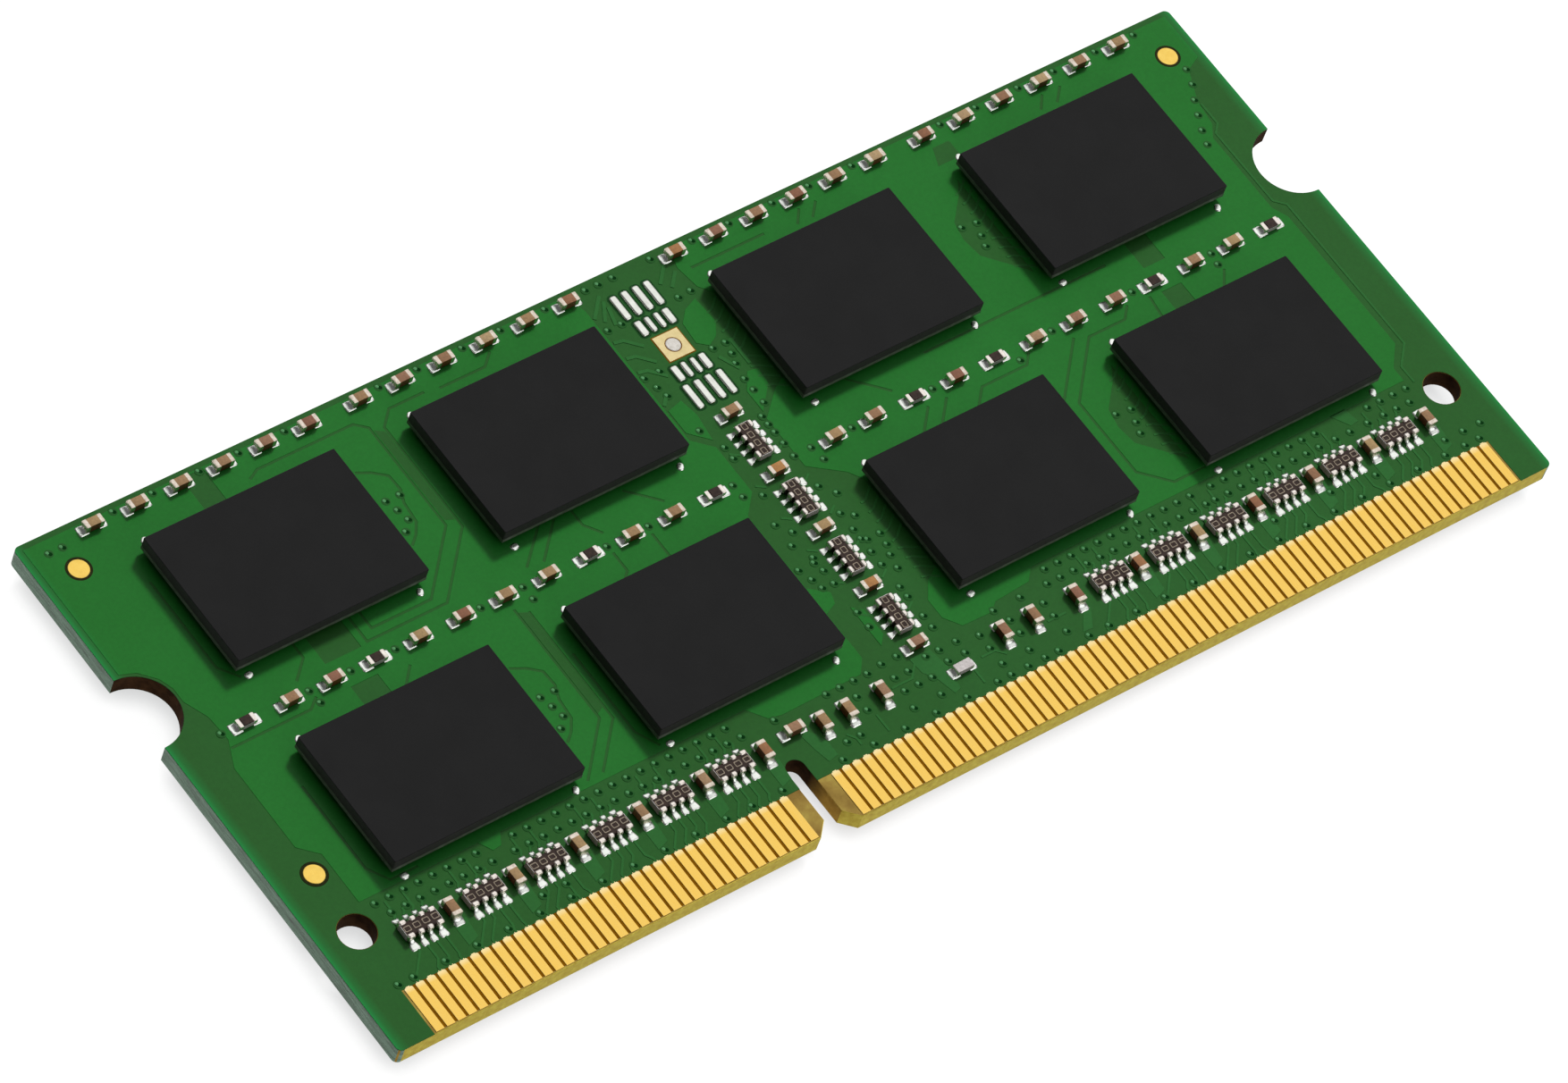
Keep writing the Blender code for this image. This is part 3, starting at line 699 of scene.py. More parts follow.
LOBES = [
    [(35.0, 25.9), (35.6, 26.5), (36.4, 26.8), (36.5, 25.3), (36.0, 24.6), (35.4, 24.3),
     (34.9, 24.7)],
    [(31.4, 20.8), (32.3, 19.9), (32.5, 21.4), (32.3, 22.4), (31.4, 22.2)],
    [(35.4, 20.1), (36.6, 21.3), (36.7, 22.2), (36.1, 22.3), (35.4, 21.4)],
    [(32.4, 7.0), (32.9, 7.5), (32.9, 9.0), (32.4, 9.4)],
    [(9.5, 7.25), (10.8, 7.25), (10.4, 6.6), (9.9, 6.55)],
]
FAINT_LOBES = [
    [(26.05, 4.9), (26.35, 5.0), (26.75, 4.6), (27.0, 3.9), (27.0, 3.2), (26.4, 3.1), (26.2, 3.9)],
    [(33.1, 5.8), (34.3, 5.8), (34.5, 4.6), (34.3, 3.4), (33.9, 3.3), (33.6, 4.4), (33.2, 4.9)],
    [(41.35, 3.15), (42.15, 4.2), (42.55, 4.1), (41.9, 3.1)],
    [(59.6, 7.25), (60.5, 7.25), (60.7, 6.4), (60.2, 6.35)],
]
PALE_STRIPS = [
    [(18.46, 22.1), (18.92, 21.9), (18.92, 27.4), (18.46, 27.7)],
    [(18.47, 10.2), (18.88, 10.4), (18.88, 16.2), (18.47, 16.4)],
    [(51.6, 27.6), (53.0, 27.6), (53.0, 28.6), (52.0, 28.6)],
]
COPPER_ROOT, COPPER_RISE, COPPER_EDGE = -0.005, 0.014, 0.008
TRACK_WIDTH, PALE_TRACK_WIDTH = 0.12, 0.19


def finger_centres():
    return [first + i * CONTACT_PITCH for first, count in CONTACT_GROUPS for i in range(count)]


def array_elements():
    """The x of every element of the arrays above the contacts, and its number in the array."""
    return [(first + i * BOTTOM_ARRAY_PITCH + (k - 1.5) * 0.5, k)
            for first, count in BOTTOM_ARRAYS for i in range(count) for k in range(4)]


def fan_in_tracks():
    """Tracks from the contacts up to the terminals of the resistor arrays."""
    tracks = []
    fingers = finger_centres()
    for x, k in array_elements():
        finger = min(fingers, key=lambda f: abs(f - x + 0.25 * (3 - k)))
        low, high = 2.75, 2.85 + abs(finger - x)
        tracks.append([(finger, CONTACT_LENGTH), (finger, low), (x, high), (x, 4.1)])
    return tracks


def fan_out_tracks():
    """Short tracks from the arrays' upper terminals to the two rows of vias."""
    return [[(x, 5.6), (x, 5.75), (x + 0.12, 5.9), (x + 0.12, 6.05 if k % 2 else 6.7)]
            for x, k in array_elements()]


def loose_tracks():
    """Tracks that can be seen around the middle column and along the right end."""
    tracks = [
        [(28.3, 3.1), (28.3, 3.5), (28.0, 3.9)], [(29.9, 3.1), (29.9, 4.1)],
        [(35.5, 3.1), (35.5, 3.9)],
        [(65.55, 24.7), (65.55, 23.4), (65.1, 22.95), (65.1, 18.5), (65.6, 18.0), (65.6, 8.9),
         (64.6, 7.9), (64.6, 6.9)],
        [(31.4, 4.9), (32.6, 4.9), (33.2, 5.5)],
        [(36.2, 4.3), (37.0, 4.3), (37.4, 3.9)],
        [(40.2, 4.4), (41.3, 4.4)],
    ]
    for y in range(8, 20, 2):
        tracks.append([(34.75, y), (35.2, y + 0.3)])
        tracks.append([(32.95, y + 0.6), (32.5, y + 0.9)])
    return tracks


def escape_tracks():
    """Tracks that run slantwise out of the left side of four packages."""
    tracks = []
    for x in (PACKAGE_COLUMNS[2] - PACKAGE_HALF, PACKAGE_COLUMNS[3] - PACKAGE_HALF):
        for y in PACKAGE_ROWS:
            for i in range(9):
                low = y + 2.5 - i * 0.6
                slant = 0.5 if i < 5 else -0.4
                tracks.append([(x + 0.05, low + slant), (x - 0.6, low),
                               (x - 0.95, low - slant * 0.2)])
    return tracks


def side_bundles():
    """Broader tracks that pass both sides of the empty footprint."""
    tracks = []
    for i in range(3):
        step = 0.36 * i
        tracks.append([(31.4 + step, 28.0 - step), (32.4, 29.0 - step)])
    for y in (26.5, 25.5, 24.6):
        tracks.append([(31.4, y), (31.9, y - 0.1), (32.6, y - 0.8)])
    tracks += [[(36.4, 29.2), (35.4, 28.2)], [(36.5, 28.5), (35.8, 27.8)],
               [(31.4, 22.5), (31.9, 23.0)]]
    tracks += [[(35.4, 23.6), (35.9, 22.6)], [(36.5, 24.2), (36.5, 22.6)]]
    return tracks


def chip_patches():
    """The small copper areas that the lower ends of the bottom row's capacitors stand on."""
    patch = [(-0.3, 3.0), (0.35, 3.2), (0.45, 4.3), (-0.3, 4.3)]
    return [[(first + i * BOTTOM_CHIP_PITCH + x, y) for x, y in patch]
            for first, count in BOTTOM_CHIPS for i in range(count)]


def make_copper(side, face):
    """Copper planes and tracks, seen as raised, brighter mask."""
    shape = Shape()
    for plane, holes in zip((LEFT_PLANE, RIGHT_PLANE), openings()):
        plate([plane] + holes, COPPER_ROOT, COPPER_RISE, COPPER_EDGE, 0, shape)
    tracks = fan_in_tracks() + fan_out_tracks() + loose_tracks() + escape_tracks()
    layers = (                                             # outlines, step above a plane, material
        (LOBES, 0.003, 0),
        (FAINT_LOBES + chip_patches(), 0.0, 2),
        (PALE_STRIPS, 0.003, 1),
        ([ribbon(path, TRACK_WIDTH) for path in tracks], 0.006, 2),
        ([ribbon(path, PALE_TRACK_WIDTH) for path in side_bundles()], 0.009, 2),
    )
    for outlines, step, slot in layers:
        for outline in outlines:
            plate([outline], COPPER_ROOT, COPPER_RISE + step, COPPER_EDGE, slot, shape)
    piece(f"copper_relief_{face}", shape, side, ("mask_copper", "mask_bare", "mask_track"))


VIA_ROWS = (                                               # y, and the x of each via
    (2.86, (2.0, 21.8, 23.55, 36.9, 37.9, 38.9, 39.7, 41.5, 42.7, 64.5, 65.4)),
    (3.55, (10.5, 11.8, 27.8, 28.6, 31.7, 33.3, 36.9, 38.5, 40.7, 59.5, 63.8, 64.95, 66.0)),
    (3.8, (53.45, 56.9)),
    (4.5, (29.7, 31.9, 32.7, 33.5, 36.9, 38.7, 40.7)),
    (4.85, (34.7, 35.7)),
    (5.3, (29.7, 31.9, 32.7, 36.9, 38.7, 40.7)),
    (5.55, (33.9, 34.7, 35.7)),
    (6.08, (25.5, 38.3, 39.9, 59.05, 59.95, 61.05, 62.05, 62.85, 63.65)),
)
VIA_COLUMNS = (                                            # x, and the y of each via
    (32.55, (16.3, 14.0, 12.4, 11.6, 10.8, 9.0, 8.1, 18.6, 19.3)),
    (32.05, (14.7, 13.4, 20.6)),
    (35.2, (19.9, 19.4, 18.9, 18.2, 17.4, 15.5, 13.8, 12.8, 12.2, 11.4, 10.6, 9.2, 8.6, 7.4)),
    (35.75, (22.0, 21.3, 20.5, 14.8, 13.4, 10.1)),
)
PACKAGE_VIAS = (                                           # x, and y from a package row's middle
    (16.65, 0.75), (17.45, 0.75), (16.85, 0.1), (17.0, -0.55), (16.5, -1.05),
    (31.5, 0.75), (32.4, 0.75), (31.75, 0.05), (31.9, -0.55),
    (50.4, 0.75), (51.25, 0.65), (51.0, -0.05), (50.8, -0.65),
    (35.45, 0.65), (36.2, 0.65), (36.1, 0.0), (35.9, -0.55),
)


def via_places():
    """Centres of the plated vias."""
    rows = ((6.8, 3.55, 8), (6.8, 11.2, 16), (6.8, 41.9, 12), (6.8, 51.95, 9), (6.8, 61.6, 4),
            (6.08, 3.95, 8), (6.08, 10.8, 17), (6.08, 28.5, 4), (6.08, 41.5, 13), (6.08, 51.65, 9))
    places = [(first + 0.8 * i, y) for y, first, count in rows for i in range(count)]
    places += [(2.85 + 1.75 * i, 2.86) for i in range(11)]
    places += [(44.35 + 1.72 * i, 2.86) for i in range(12)]
    places += [(27.05 + 1.81 * i, 2.86) for i in range(6)]
    places += [(x, y) for y, row in VIA_ROWS for x in row]
    places += [(31.8, 6.2), (32.7, 6.2), (35.2, 6.7)]
    for y in PACKAGE_ROWS:
        places += [(x, y + dy) for x, dy in PACKAGE_VIAS]
    places += [(x, 17.4) for x in (2.65, 7.5, 9.8, 12.3, 17.1, 19.5, 24.3, 26.7, 31.6, 36.2,
                                   38.6, 43.4, 50.6, 55.5, 60.4)]
    places += [(7.6, 16.65), (19.55, 16.65), (31.65, 16.65), (48.2, 16.75), (60.3, 16.75),
               (36.35, 16.6)]
    places += [(x, y) for x, column in VIA_COLUMNS for y in column]
    places += [(31.6, 27.2), (32.4, 27.2), (35.75, 27.2), (36.5, 27.25), (32.0, 29.55),
               (32.75, 29.55)]
    places += [(66.2, 26.65), (65.9, 25.8), (65.4, 25.0), (65.0, 24.2), (64.6, 23.4), (64.3, 22.6)]
    places += [(1.3, 29.0), (2.05, 29.0), (33.6, 29.55), (35.85, 29.6), (65.1, 29.5)]
    for first in TOP_ROW_GROUPS:
        places += [(first + TOP_ROW_PITCH * (i - 2) + 0.1 * (-1) ** i, 29.55) for i in range(5)]
    return places


def make_vias(side, face):
    """Tented vias: a low ring of mask, a dark dot of painted shade to one side and a swelling to
    the other, its lighter green a painted highlight.
    """
    via = turned([(0.25, -0.004), (0.22, 0.018), (0.14, 0.024), (0, 0.022)])
    # Painted shade: a dark dot on a low rise; painted highlight: a lighter green bead.
    shade_dot = turned([(0.11, 0.022), (0.09, 0.027), (0, 0.028)], 12, 1)
    highlight_bead = turned([(0.1, 0.02), (0.08, 0.044), (0.03, 0.055), (0, 0.057)], 10, 2)
    via.stamp(shade_dot, 0.045, -0.045).stamp(highlight_bead, -0.06, 0.06)
    shape = Shape()
    for x, y in via_places():
        shape.stamp(via, x, y)
    piece(f"vias_{face}", shape, side, ("via_ring", "via_painted_shade", "via_painted_highlight"))


# Contacts and bare pads -----------------------------------------------------------------------

def make_contacts(side, face):
    """Gold-plated fingers with broken edges; a short neck runs under the mask."""
    shape = Shape()
    half = CONTACT_WIDTH / 2
    top, cut = CONTACT_LENGTH + 0.01, 0.06
    outline = [(-half, CONTACT_LOW), (half, CONTACT_LOW), (half, top - cut), (half - cut, top),
               (cut - half, top), (-half, top - cut)]
    finger = plate([outline], -MASK_THICKNESS - 0.005, 0.012, 0.012)
    neck = plate([rectangle(-0.1, CONTACT_LENGTH - 0.1, 0.1, CONTACT_LENGTH + 0.05)],
                 -MASK_THICKNESS, 0.002)
    for x in finger_centres():
        shape.stamp(finger, x).stamp(neck, x)
    for first, count in CONTACT_GROUPS:
        last = first + (count - 1) * CONTACT_PITCH
        # A dark bed under the fingers: the bare laminate in their gaps, darkened as painted shade.
        bed = rectangle(first - 0.1, 0.1, last + 0.1, CONTACT_LENGTH + 0.03)
        plate([bed], -MASK_THICKNESS, -0.012, 0, 1, shape)
    piece(f"gold_contacts_{face}", shape, side, ("gold", "dark_laminate_and_painted_shade"),
          [f"contacts_{face}"])


BARE_PAD_MATERIALS = ("pad_gold", "solder", "clearance", "dark_laminate_and_painted_shade", "pale_gold", "moat",
                      "pad_tin", "dull_solder")


def make_pads(side, face):
    """Fiducials, solder dots at the packages' corners, and the front's empty chip footprint."""
    shape = Shape()
    fiducial = turned([(FIDUCIAL_RADIUS, 0.0), (FIDUCIAL_RADIUS - 0.05, 0.026), (0, 0.03)], 40)
    moat = turned([(FIDUCIAL_RING, 0.0), (FIDUCIAL_RING - 0.02, 0.015), (0, 0.016)], 40, 5)
    for x, y in FIDUCIALS:
        shape.stamp(moat, x, y).stamp(fiducial, x, y)
    dot = mound(rounded(-0.22, -0.175, 0.22, 0.175, 0.165), 0.07, 0.08, 1)
    for cx in PACKAGE_COLUMNS:
        for cy in PACKAGE_ROWS:
            for dx, dy, turn in ((-4.72, -4.05, 10), (4.83, -4.05, 60), (-4.72, 4.12, 50)):
                shape.stamp(dot, cx + dx, cy + dy, turn=turn)
    if side == FRONT:
        for outline in footprint_pads():
            plate([inset(outline, -0.1)], 0.0, 0.004, 0, 2, shape)
            mound(outline, 0.1, 0.1, 6, shape=shape)
        x, y, half = FOOTPRINT_X, FOOTPRINT_Y, 0.73
        # The dark bed shows as a thin rim of bare laminate round the land.
        bed = rectangle(x - half - 0.05, y - half - 0.05, x + half + 0.05, y + half + 0.05)
        land = rectangle(x - half, y - half, x + half, y + half)
        plate([bed], 0.0, 0.006, 0, 3, shape)
        plate([land], 0.0, 0.03, 0.01, 4, shape)
        groove = turned([(0.42, 0.03), (0.41, 0.033), (0.385, 0.033), (0.37, 0.03)], 32, 3)
        blob = turned([(0.38, 0.03), (0.34, 0.05), (0.22, 0.066), (0, 0.07)], 32, 7)
        shape.stamp(groove, x, y).stamp(blob, x, y)
    piece(f"bare_pads_{face}", shape, side, BARE_PAD_MATERIALS)


# Small components -----------------------------------------------------------------------------

PAD = 0.03                                                 # pad thickness under a component
ARRAY_TERMINALS = (                                        # x, length, half width of the pad
    (-0.79, 0.38, 0.24), (-0.25, 0.32, 0.18), (0.25, 0.32, 0.18), (0.79, 0.38, 0.24))


def foot(stations):
    """Solder along +X: each station is (x, height, half width); its section is a low dome."""
    section = ((-1.0, 0.0), (-0.88, 0.62), (-0.6, 0.95), (0.0, 1.0), (0.6, 0.95), (0.88, 0.62),
               (1.0, 0.0))
    n = len(section)
    points = [(x, across * half, up * height)
              for x, height, half in stations for across, up in section]
    faces = [(r * n + i, (r + 1) * n + i, (r + 1) * n + i + 1, r * n + i + 1)
             for r in range(len(stations) - 1) for i in range(n - 1)]
    return Shape().add(points, faces, 2)


def puddle(reach, half):
    """Solder on a pad that reaches some way past the terminal's end face."""
    return foot(((-0.22, 0.0, half - 0.04), (-0.2, 0.05, half - 0.01), (0.0, 0.06, half),
                 (reach - 0.13, 0.065, half), (reach - 0.055, 0.055, half - 0.005),
                 (reach - 0.015, 0.035, half - 0.025), (reach, 0.0, half - 0.05)))


FILLET = foot(((-0.03, 0.24, 0.22), (0.0, 0.24, 0.22), (0.04, 0.17, 0.23), (0.09, 0.12, 0.24),
               (0.16, 0.08, 0.245), (0.22, 0.06, 0.23)))
CAPACITOR_FEET = (puddle(0.295, 0.29).stamp(FILLET), puddle(0.24, 0.285))
RESISTOR_FEET = (puddle(0.34, 0.32).stamp(FILLET), puddle(0.3, 0.31))
HEEL = foot(((-0.06, 0.27, 0.235), (0.0, 0.27, 0.245), (0.05, 0.17, 0.265), (0.11, 0.11, 0.28),
             (0.18, 0.08, 0.29), (0.26, 0.055, 0.285), (0.315, 0.03, 0.26), (0.34, 0.0, 0.21)))
UPRIGHT_FEET = (HEEL, puddle(0.21, 0.27))


def array_foot(reach, half):
    """Solder that spreads from an array's narrow terminal to its full pad."""
    return foot(((-0.04, 0.22, 0.1), (0.0, 0.22, 0.11), (0.05, 0.14, 0.56 * half),
                 (0.12, 0.085, 0.75 * half), (0.22, 0.055, 0.95 * half),
                 (reach - 0.1, 0.045, half), (reach - 0.03, 0.03, 0.93 * half),
                 (reach, 0.0, 0.75 * half)))


def two_ended(body, terminal_length, length, width, height, feet, tin=1):
    """A chip component's body between two wrapped terminals, each with its solder foot."""
    shape = Shape().stamp(body)
    cap = rounded_box(terminal_length, width, height, 0.05, 2, tin, PAD)
    near, far = feet
    for turn, side, joint in ((0, 1, far), (180, -1, near)):
        shape.stamp(cap, side * (length - terminal_length) / 2)
        shape.stamp(joint, side * length / 2, turn=turn)
    return shape


def capacitor(feet):
    body = rounded_box(0.92, 0.47, 0.45, 0.035, 2, 0, PAD + 0.015)
    return two_ended(body, 0.25, 1.0, 0.5, 0.47, feet, 6)


def resistor():
    body = rounded_box(0.96, 0.48, 0.28, 0.02, 1, 4, PAD)
    body.stamp(rounded_box(0.54, 0.46, 0.05, 0.015, 1, 3, PAD + 0.27))
    return two_ended(body, 0.23, 1.0, 0.5, 0.31, RESISTOR_FEET)


def upturned_resistor():
    """A resistor soldered face down, with its pale ceramic showing."""
    body = rounded_box(0.96, 0.48, 0.31, 0.02, 1, 4, PAD)
    return two_ended(body, 0.16, 1.0, 0.5, 0.3, CAPACITOR_FEET)


def resistor_array():
    """Four resistors on one ceramic block, with terminals along both long sides."""
    shape = rounded_box(1.94, 0.7, 0.34, 0.02, 1, 3, PAD)
    for end in (-1, 1):
        shape.stamp(rounded_box(0.035, 0.72, 0.355, 0.012, 1, 4, PAD), end * 0.965)
    outer, inner = rounded(-0.18, -0.15, 0.18, 0.15, 0.06), rounded(-0.13, -0.1, 0.13, 0.1, 0.04)
    frame_ring = plate([outer, inner], PAD + 0.33, PAD + 0.36, 0.008, 5)
    for i in range(4):
        shape.stamp(frame_ring, (i - 1.5) * 0.5)
    for x, length, half in ARRAY_TERMINALS:
        cap = rounded_box(length, 0.26, 0.43, 0.09, 3, 1, PAD)
        far, near = array_foot(0.36, 0.8 * half), array_foot(0.47, half)
        for turn, side, joint in ((90, 1, far), (-90, -1, near)):
            shape.stamp(cap, x, side * 0.37)
            shape.stamp(joint, x, side * 0.49, turn=turn)
    return shape


COMPONENT_MATERIALS = ("ceramic", "tin", "solder", "glaze", "alumina", "glaze_seam", "dull_tin")


def make_components(side, face):
    """Every capacitor, resistor and resistor array of one face, in three rows."""
    kinds = {"C": capacitor(CAPACITOR_FEET), "R": resistor()}
    upright = capacitor(UPRIGHT_FEET)
    array = resistor_array()
    rng = random.Random(7 + side)

    def put(shape, part, x, y, turn=0.0):
        shape.stamp(part, x + rng.uniform(-0.03, 0.03), y + rng.uniform(-0.02, 0.02), 0.0,
                    turn + rng.uniform(-1.5, 1.5))

    top = Shape()
    for centre in TOP_ROW_GROUPS:
        for i in range(TOP_ROW_COUNT):
            put(top, kinds["C"], centre + (i - (TOP_ROW_COUNT - 1) / 2) * TOP_ROW_PITCH, TOP_ROW_Y)
    piece(f"edge_capacitors_{face}", top, side, COMPONENT_MATERIALS,
          [f"capacitors_{face}_top_edge"])

    middle = Shape()
    for start, row in zip(MIDDLE_ROW_STARTS, MIDDLE_ROW_KINDS):
        for i, kind in enumerate(row):
            put(middle, kinds[kind], start + i * MIDDLE_ROW_PITCH, MIDDLE_ROW_Y)
    for i in range(5):
        put(middle, kinds["C"], CENTRE_X, CENTRE_CHIP_Y + i * CENTRE_PITCH)
    for i in range(4):
        put(middle, array, CENTRE_X, CENTRE_ARRAY_Y + i * CENTRE_PITCH, 90)
    piece(f"middle_components_{face}", middle, side, COMPONENT_MATERIALS,
          [f"passives_{face}_middle"])

    bottom = Shape()
    for first, count in BOTTOM_ARRAYS:
        for i in range(count):
            put(bottom, array, first + i * BOTTOM_ARRAY_PITCH, BOTTOM_ROW_Y)
    for first, count in BOTTOM_CHIPS:
        for i in range(count):
            put(bottom, upright, first + i * BOTTOM_CHIP_PITCH, BOTTOM_ROW_Y, 90)
    for x in BOTTOM_LOOSE_X:
        put(bottom, upright, x, BOTTOM_ROW_Y, 90)
    put(bottom, kinds["C"], *CROSSWISE_CHIP)
    put(bottom, upturned_resistor(), *SINGLE_RESISTOR)
    piece(f"bottom_components_{face}", bottom, side, COMPONENT_MATERIALS,
          [f"resistor_arrays_{face}_bottom"])


# Memory packages ------------------------------------------------------------------------------

def local_mesh(name, shape, materials):
    """A mesh in metres about its own origin, for copies to share."""
    points = [(x * MM, y * MM, z * MM) for x, y, z in shape.points]
    return build_mesh(name, points, shape.faces, shape.slots, materials)


def mould_shape(length, width, height):
    """A sawn mould cap: square sides and a hair of wear along the top."""
    rim = []
    for cx, cy, start in ((1, 1, 0), (-1, 1, 90), (-1, -1, 180), (1, -1, 270)):
        rim += arc(cx * (length / 2 - 0.06), cy * (width / 2 - 0.06), 0.06, start, start + 90, 3)
    shape = plate([rim], 0.0, height, 0.025)
    # The side faces take the lighter sawn compound: partly its sawn finish, partly painted light.
    for i, face in enumerate(shape.faces):
        if max(shape.points[k][2] for k in face) < height - 0.02:
            shape.slots[i] = 1
    return shape


def ball_shape():
    """A reflowed solder ball, flattened on both pads."""
    top, bottom = 0.3, 0.0
    profile = [(0.13, bottom), (0.2, 0.06), (0.225, 0.15), (0.2, 0.24), (0.14, top)]
    return turned(profile, 12)


def substrate_shape(length, width, thickness, standoff):
    """Package laminate over its solder balls, in six columns of thirteen."""
    shape = rounded_box(length, width, thickness, 0.012, 1, 0, standoff)
    ball = ball_shape()
    for column in (-4, -3, -2, 2, 3, 4):
        for row in range(13):
            faces = [f[::-1] for f in ball.faces]
            copy = Shape().add(ball.points, faces, 1)
            shape.stamp(copy, (row - 6) * 0.8, column * 0.8)
    return shape


def make_packages():
    """Sixteen packages, each a mould cap over a ball-grid laminate with a die inside."""
    low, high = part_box("dram_front_1_mould_cap")
    length, width = (high.x - low.x) / MM, (high.y - low.y) / MM
    mask_z = MID_Z + FACE
    standoff = 0.30
    thickness = low.z / MM - mask_z - standoff
    cap_shape = mould_shape(length, width, (high.z - low.z) / MM)
    grid_shape = substrate_shape(length, width, thickness, standoff)
    mould = local_mesh("dram_mould", cap_shape, ("mould", "sawn"))
    base = local_mesh("dram_ball_grid", grid_shape, ("substrate", "ball"))
    for side, face in FACES:
        for number in range(1, 9):
            low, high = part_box(f"dram_{face}_{number}_mould_cap")
            centre = (low + high) / 2
            turn = 0.0 if side == FRONT else math.pi
            cap = bpy.data.objects.new(f"memory_{face}_{number}_mould", mould)
            cap.location = (centre.x, centre.y, low.z if side == FRONT else high.z)
            grid = bpy.data.objects.new(f"memory_{face}_{number}_ball_grid", base)
            grid.location = (centre.x, centre.y, (MID_Z + side * FACE) * MM)
            cap.rotation_euler.x = grid.rotation_euler.x = turn
            settle(cap, [f"dram_{face}_{number}_mould_cap"])
            settle(grid, [f"dram_{face}_{number}_substrate"])
            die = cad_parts[f"dram_{face}_{number}_die"]
            die.data.materials.clear()
            die.data.materials.append(MATERIALS["silicon"])


# Configuration memory -------------------------------------------------------------------------

def gull_wing(body_half, span_half, shoulder, thickness, width, slot):
    """One lead: out of the body, down, and along the pad; it runs towards +Y."""
    knee, foot = body_half + 0.28, PAD
    path = [(body_half - 0.1, shoulder), (knee - 0.08, shoulder), (knee, shoulder - 0.08),
            (knee + 0.1, foot + 0.14), (knee + 0.2, foot + thickness / 2),
            (span_half, foot + thickness / 2)]
    return extruded(ribbon(path, thickness), width, slot)


def make_spd():
    """The eight-lead configuration memory on the back."""
    low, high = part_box("spd_eeprom")
    shape = Shape()
    shape.stamp(rounded_box(3.0, 4.4, 0.85, 0.06, 2, 0, 0.12))
    shape.stamp(turned([(0.2, 0.972), (0.17, 0.9735), (0, 0.974)], 20, 1), -1.0, -1.7)
    lead = gull_wing(2.2, 3.2, 0.12 + 0.425, 0.13, 0.24, 2)
    pad = plate([rectangle(-0.17, 2.2, 0.17, 3.5)], 0.0, PAD, 0.012, 3)
    joint = mound(rounded(-0.35, -0.15, 0.26, 0.15, 0.1), 0.12, 0.08, 3, 0.3)
    for i in range(4):
        x = (i - 1.5) * 0.65
        for turn, end in ((0, 3.2), (180, -3.2)):
            shape.stamp(lead, x, turn=turn).stamp(pad, x, turn=turn)
            shape.stamp(joint, x, end, turn=90 + turn)
    centre_x = (low.x + high.x) / 2 / MM + LENGTH / 2
    centre_y = (low.y + high.y) / 2 / MM + WIDTH / 2
    placed = Shape().stamp(shape, centre_x, centre_y)
    piece("spd_memory", placed, BACK, ("mould", "glaze", "tin", "solder"),
          ["spd_eeprom"])


# Stage ----------------------------------------------------------------------------------------

VIEW_AZIMUTH, VIEW_ELEVATION, VIEW_ROLL = -54.63, 52.06, 21.9
VIEW_DISTANCE, VIEW_LENS = 463.2, 234.25
VIEW_TARGET = (31.86, 13.78)                               # on the front face
PANEL_DIRECTION = (0.47, 0.36, 0.80)
KEY_DIRECTION = (0.57, 0.385, 0.74)
FILL_DIRECTION = (0.30, -0.80, 0.52)
FLOOR_SHADE_REACH = 1.7                                    # the floor's painted contact shadow reaches this close to the board


def make_camera():
    """The camera looks down on the front face from the left end, rolled to set the board aslant."""
    azimuth, elevation = math.radians(VIEW_AZIMUTH), math.radians(VIEW_ELEVATION)
    back = Vector((math.sin(azimuth) * math.cos(elevation),
                   -math.cos(azimuth) * math.cos(elevation), math.sin(elevation)))
    target = Vector((VIEW_TARGET[0] - LENGTH / 2, VIEW_TARGET[1] - WIDTH / 2, MID_Z + FACE)) * MM
    level = back.to_track_quat("Z", "Y").to_matrix()
    camera = bpy.data.objects.new("camera", bpy.data.cameras.new("camera"))
    rotation = level @ Matrix.Rotation(math.radians(VIEW_ROLL), 3, "Z")
    camera.matrix_world = Matrix.Translation(target + back * VIEW_DISTANCE * MM) @ rotation.to_4x4()
    camera.data.lens = VIEW_LENS
    camera.data.sensor_width = 36.0
    camera.data.clip_start = 0.01
    bpy.context.scene.collection.objects.link(camera)
    bpy.context.scene.camera = camera


def area_light(name, direction, distance, size, power, glossy=False):
    """A round soft light that faces the module; it shows in reflections only if glossy."""
    data = bpy.data.lights.new(name, "AREA")
    data.shape = "DISK"
    data.size = size
    data.energy = power
    light = bpy.data.objects.new(name, data)
    towards = Vector(direction).normalized()
    light.location = towards * distance
    light.rotation_euler = towards.to_track_quat("Z", "Y").to_euler()
    light.visible_glossy = glossy
    bpy.context.scene.collection.objects.link(light)


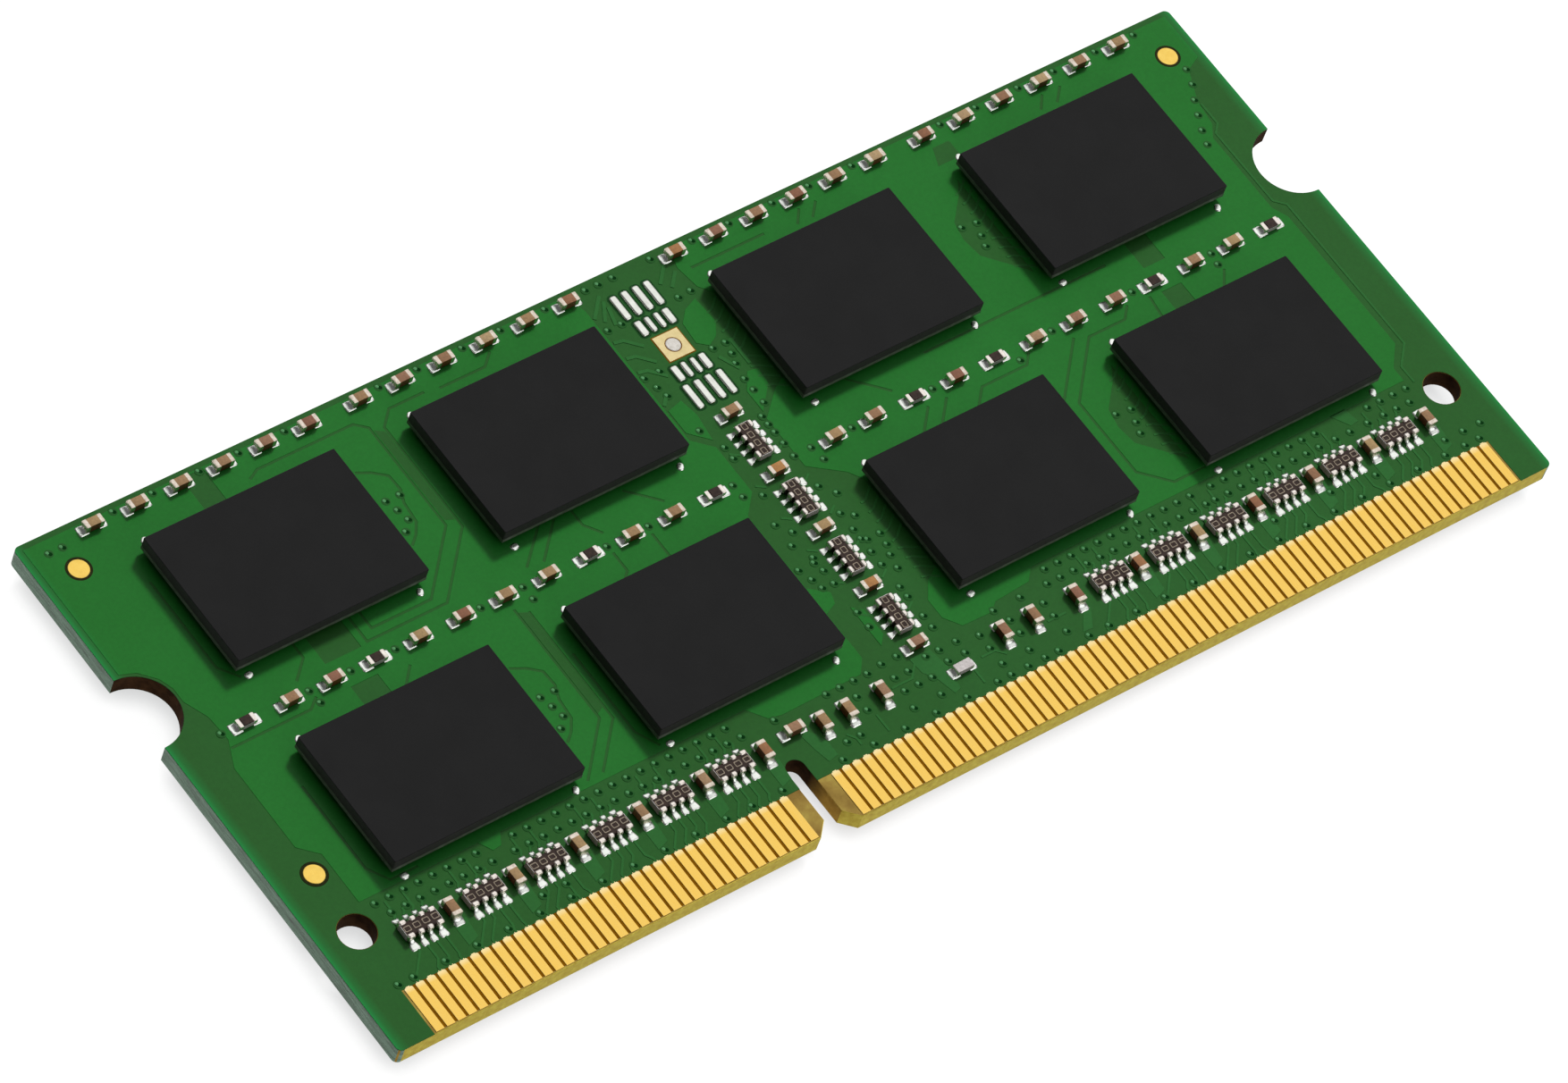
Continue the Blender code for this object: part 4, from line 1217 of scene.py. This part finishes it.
def sky():
    """Surroundings: a broad soft panel up behind the right end, dim elsewhere."""
    world = bpy.data.worlds.new("studio")
    world.use_nodes = True
    tree = world.node_tree
    coordinates = tree.nodes.new("ShaderNodeTexCoord")
    facing = tree.nodes.new("ShaderNodeVectorMath")
    facing.operation = "DOT_PRODUCT"
    facing.inputs[1].default_value = Vector(PANEL_DIRECTION).normalized()
    tree.links.new(coordinates.outputs["Generated"], facing.inputs[0])
    shade = ramp(tree, facing.outputs["Value"], [(0.62, grey(0.10)), (0.88, grey(1.0))])
    tree.links.new(shade, tree.nodes["Background"].inputs["Color"])
    tree.nodes["Background"].inputs["Strength"].default_value = 1.0
    bpy.context.scene.world = world


def make_stage():
    """A glowing white floor with a painted contact shadow close under the board, the surroundings
    and two lights.
    """
    bpy.ops.mesh.primitive_plane_add(size=4.0, location=(0, 0, -0.00002))
    floor = bpy.context.object
    floor.name = "floor"
    white, tree, shader = principled("lit_acrylic", grey(0.08), 0.8, specular=0.1)
    paper = noise(tree, place_of(tree), 0.02, 2.0)
    tone = ramp(tree, paper, [(0.3, grey(0.078)), (0.7, grey(0.082))])
    tree.links.new(tone, shader.inputs["Base Color"])
    # Painted shadow: ambient occlusion dims the floor's glow close under the board.
    beneath = tree.nodes.new("ShaderNodeAmbientOcclusion")
    beneath.inputs["Distance"].default_value = FLOOR_SHADE_REACH * MM
    glow_with_painted_shadow = ramp(tree, beneath.outputs["AO"], [(0.2, (0.40, 0.40, 0.41)), (0.8, grey(0.985))])
    tree.links.new(glow_with_painted_shadow, shader.inputs["Emission Color"])
    shader.inputs["Emission Strength"].default_value = 1.0
    floor.data.materials.append(white)
    sky()
    area_light("key", KEY_DIRECTION, 1.0, 0.17, 10.2)
    area_light("fill", FILL_DIRECTION, 1.0, 1.0, 2.6, glossy=True)
    bpy.context.scene.view_settings.view_transform = "Standard"


make_camera()
make_board()
for side, face in FACES:
    make_mask(side, face)
    make_copper(side, face)
    make_vias(side, face)
    make_contacts(side, face)
    make_pads(side, face)
    make_components(side, face)
make_packages()
make_spd()
make_stage()
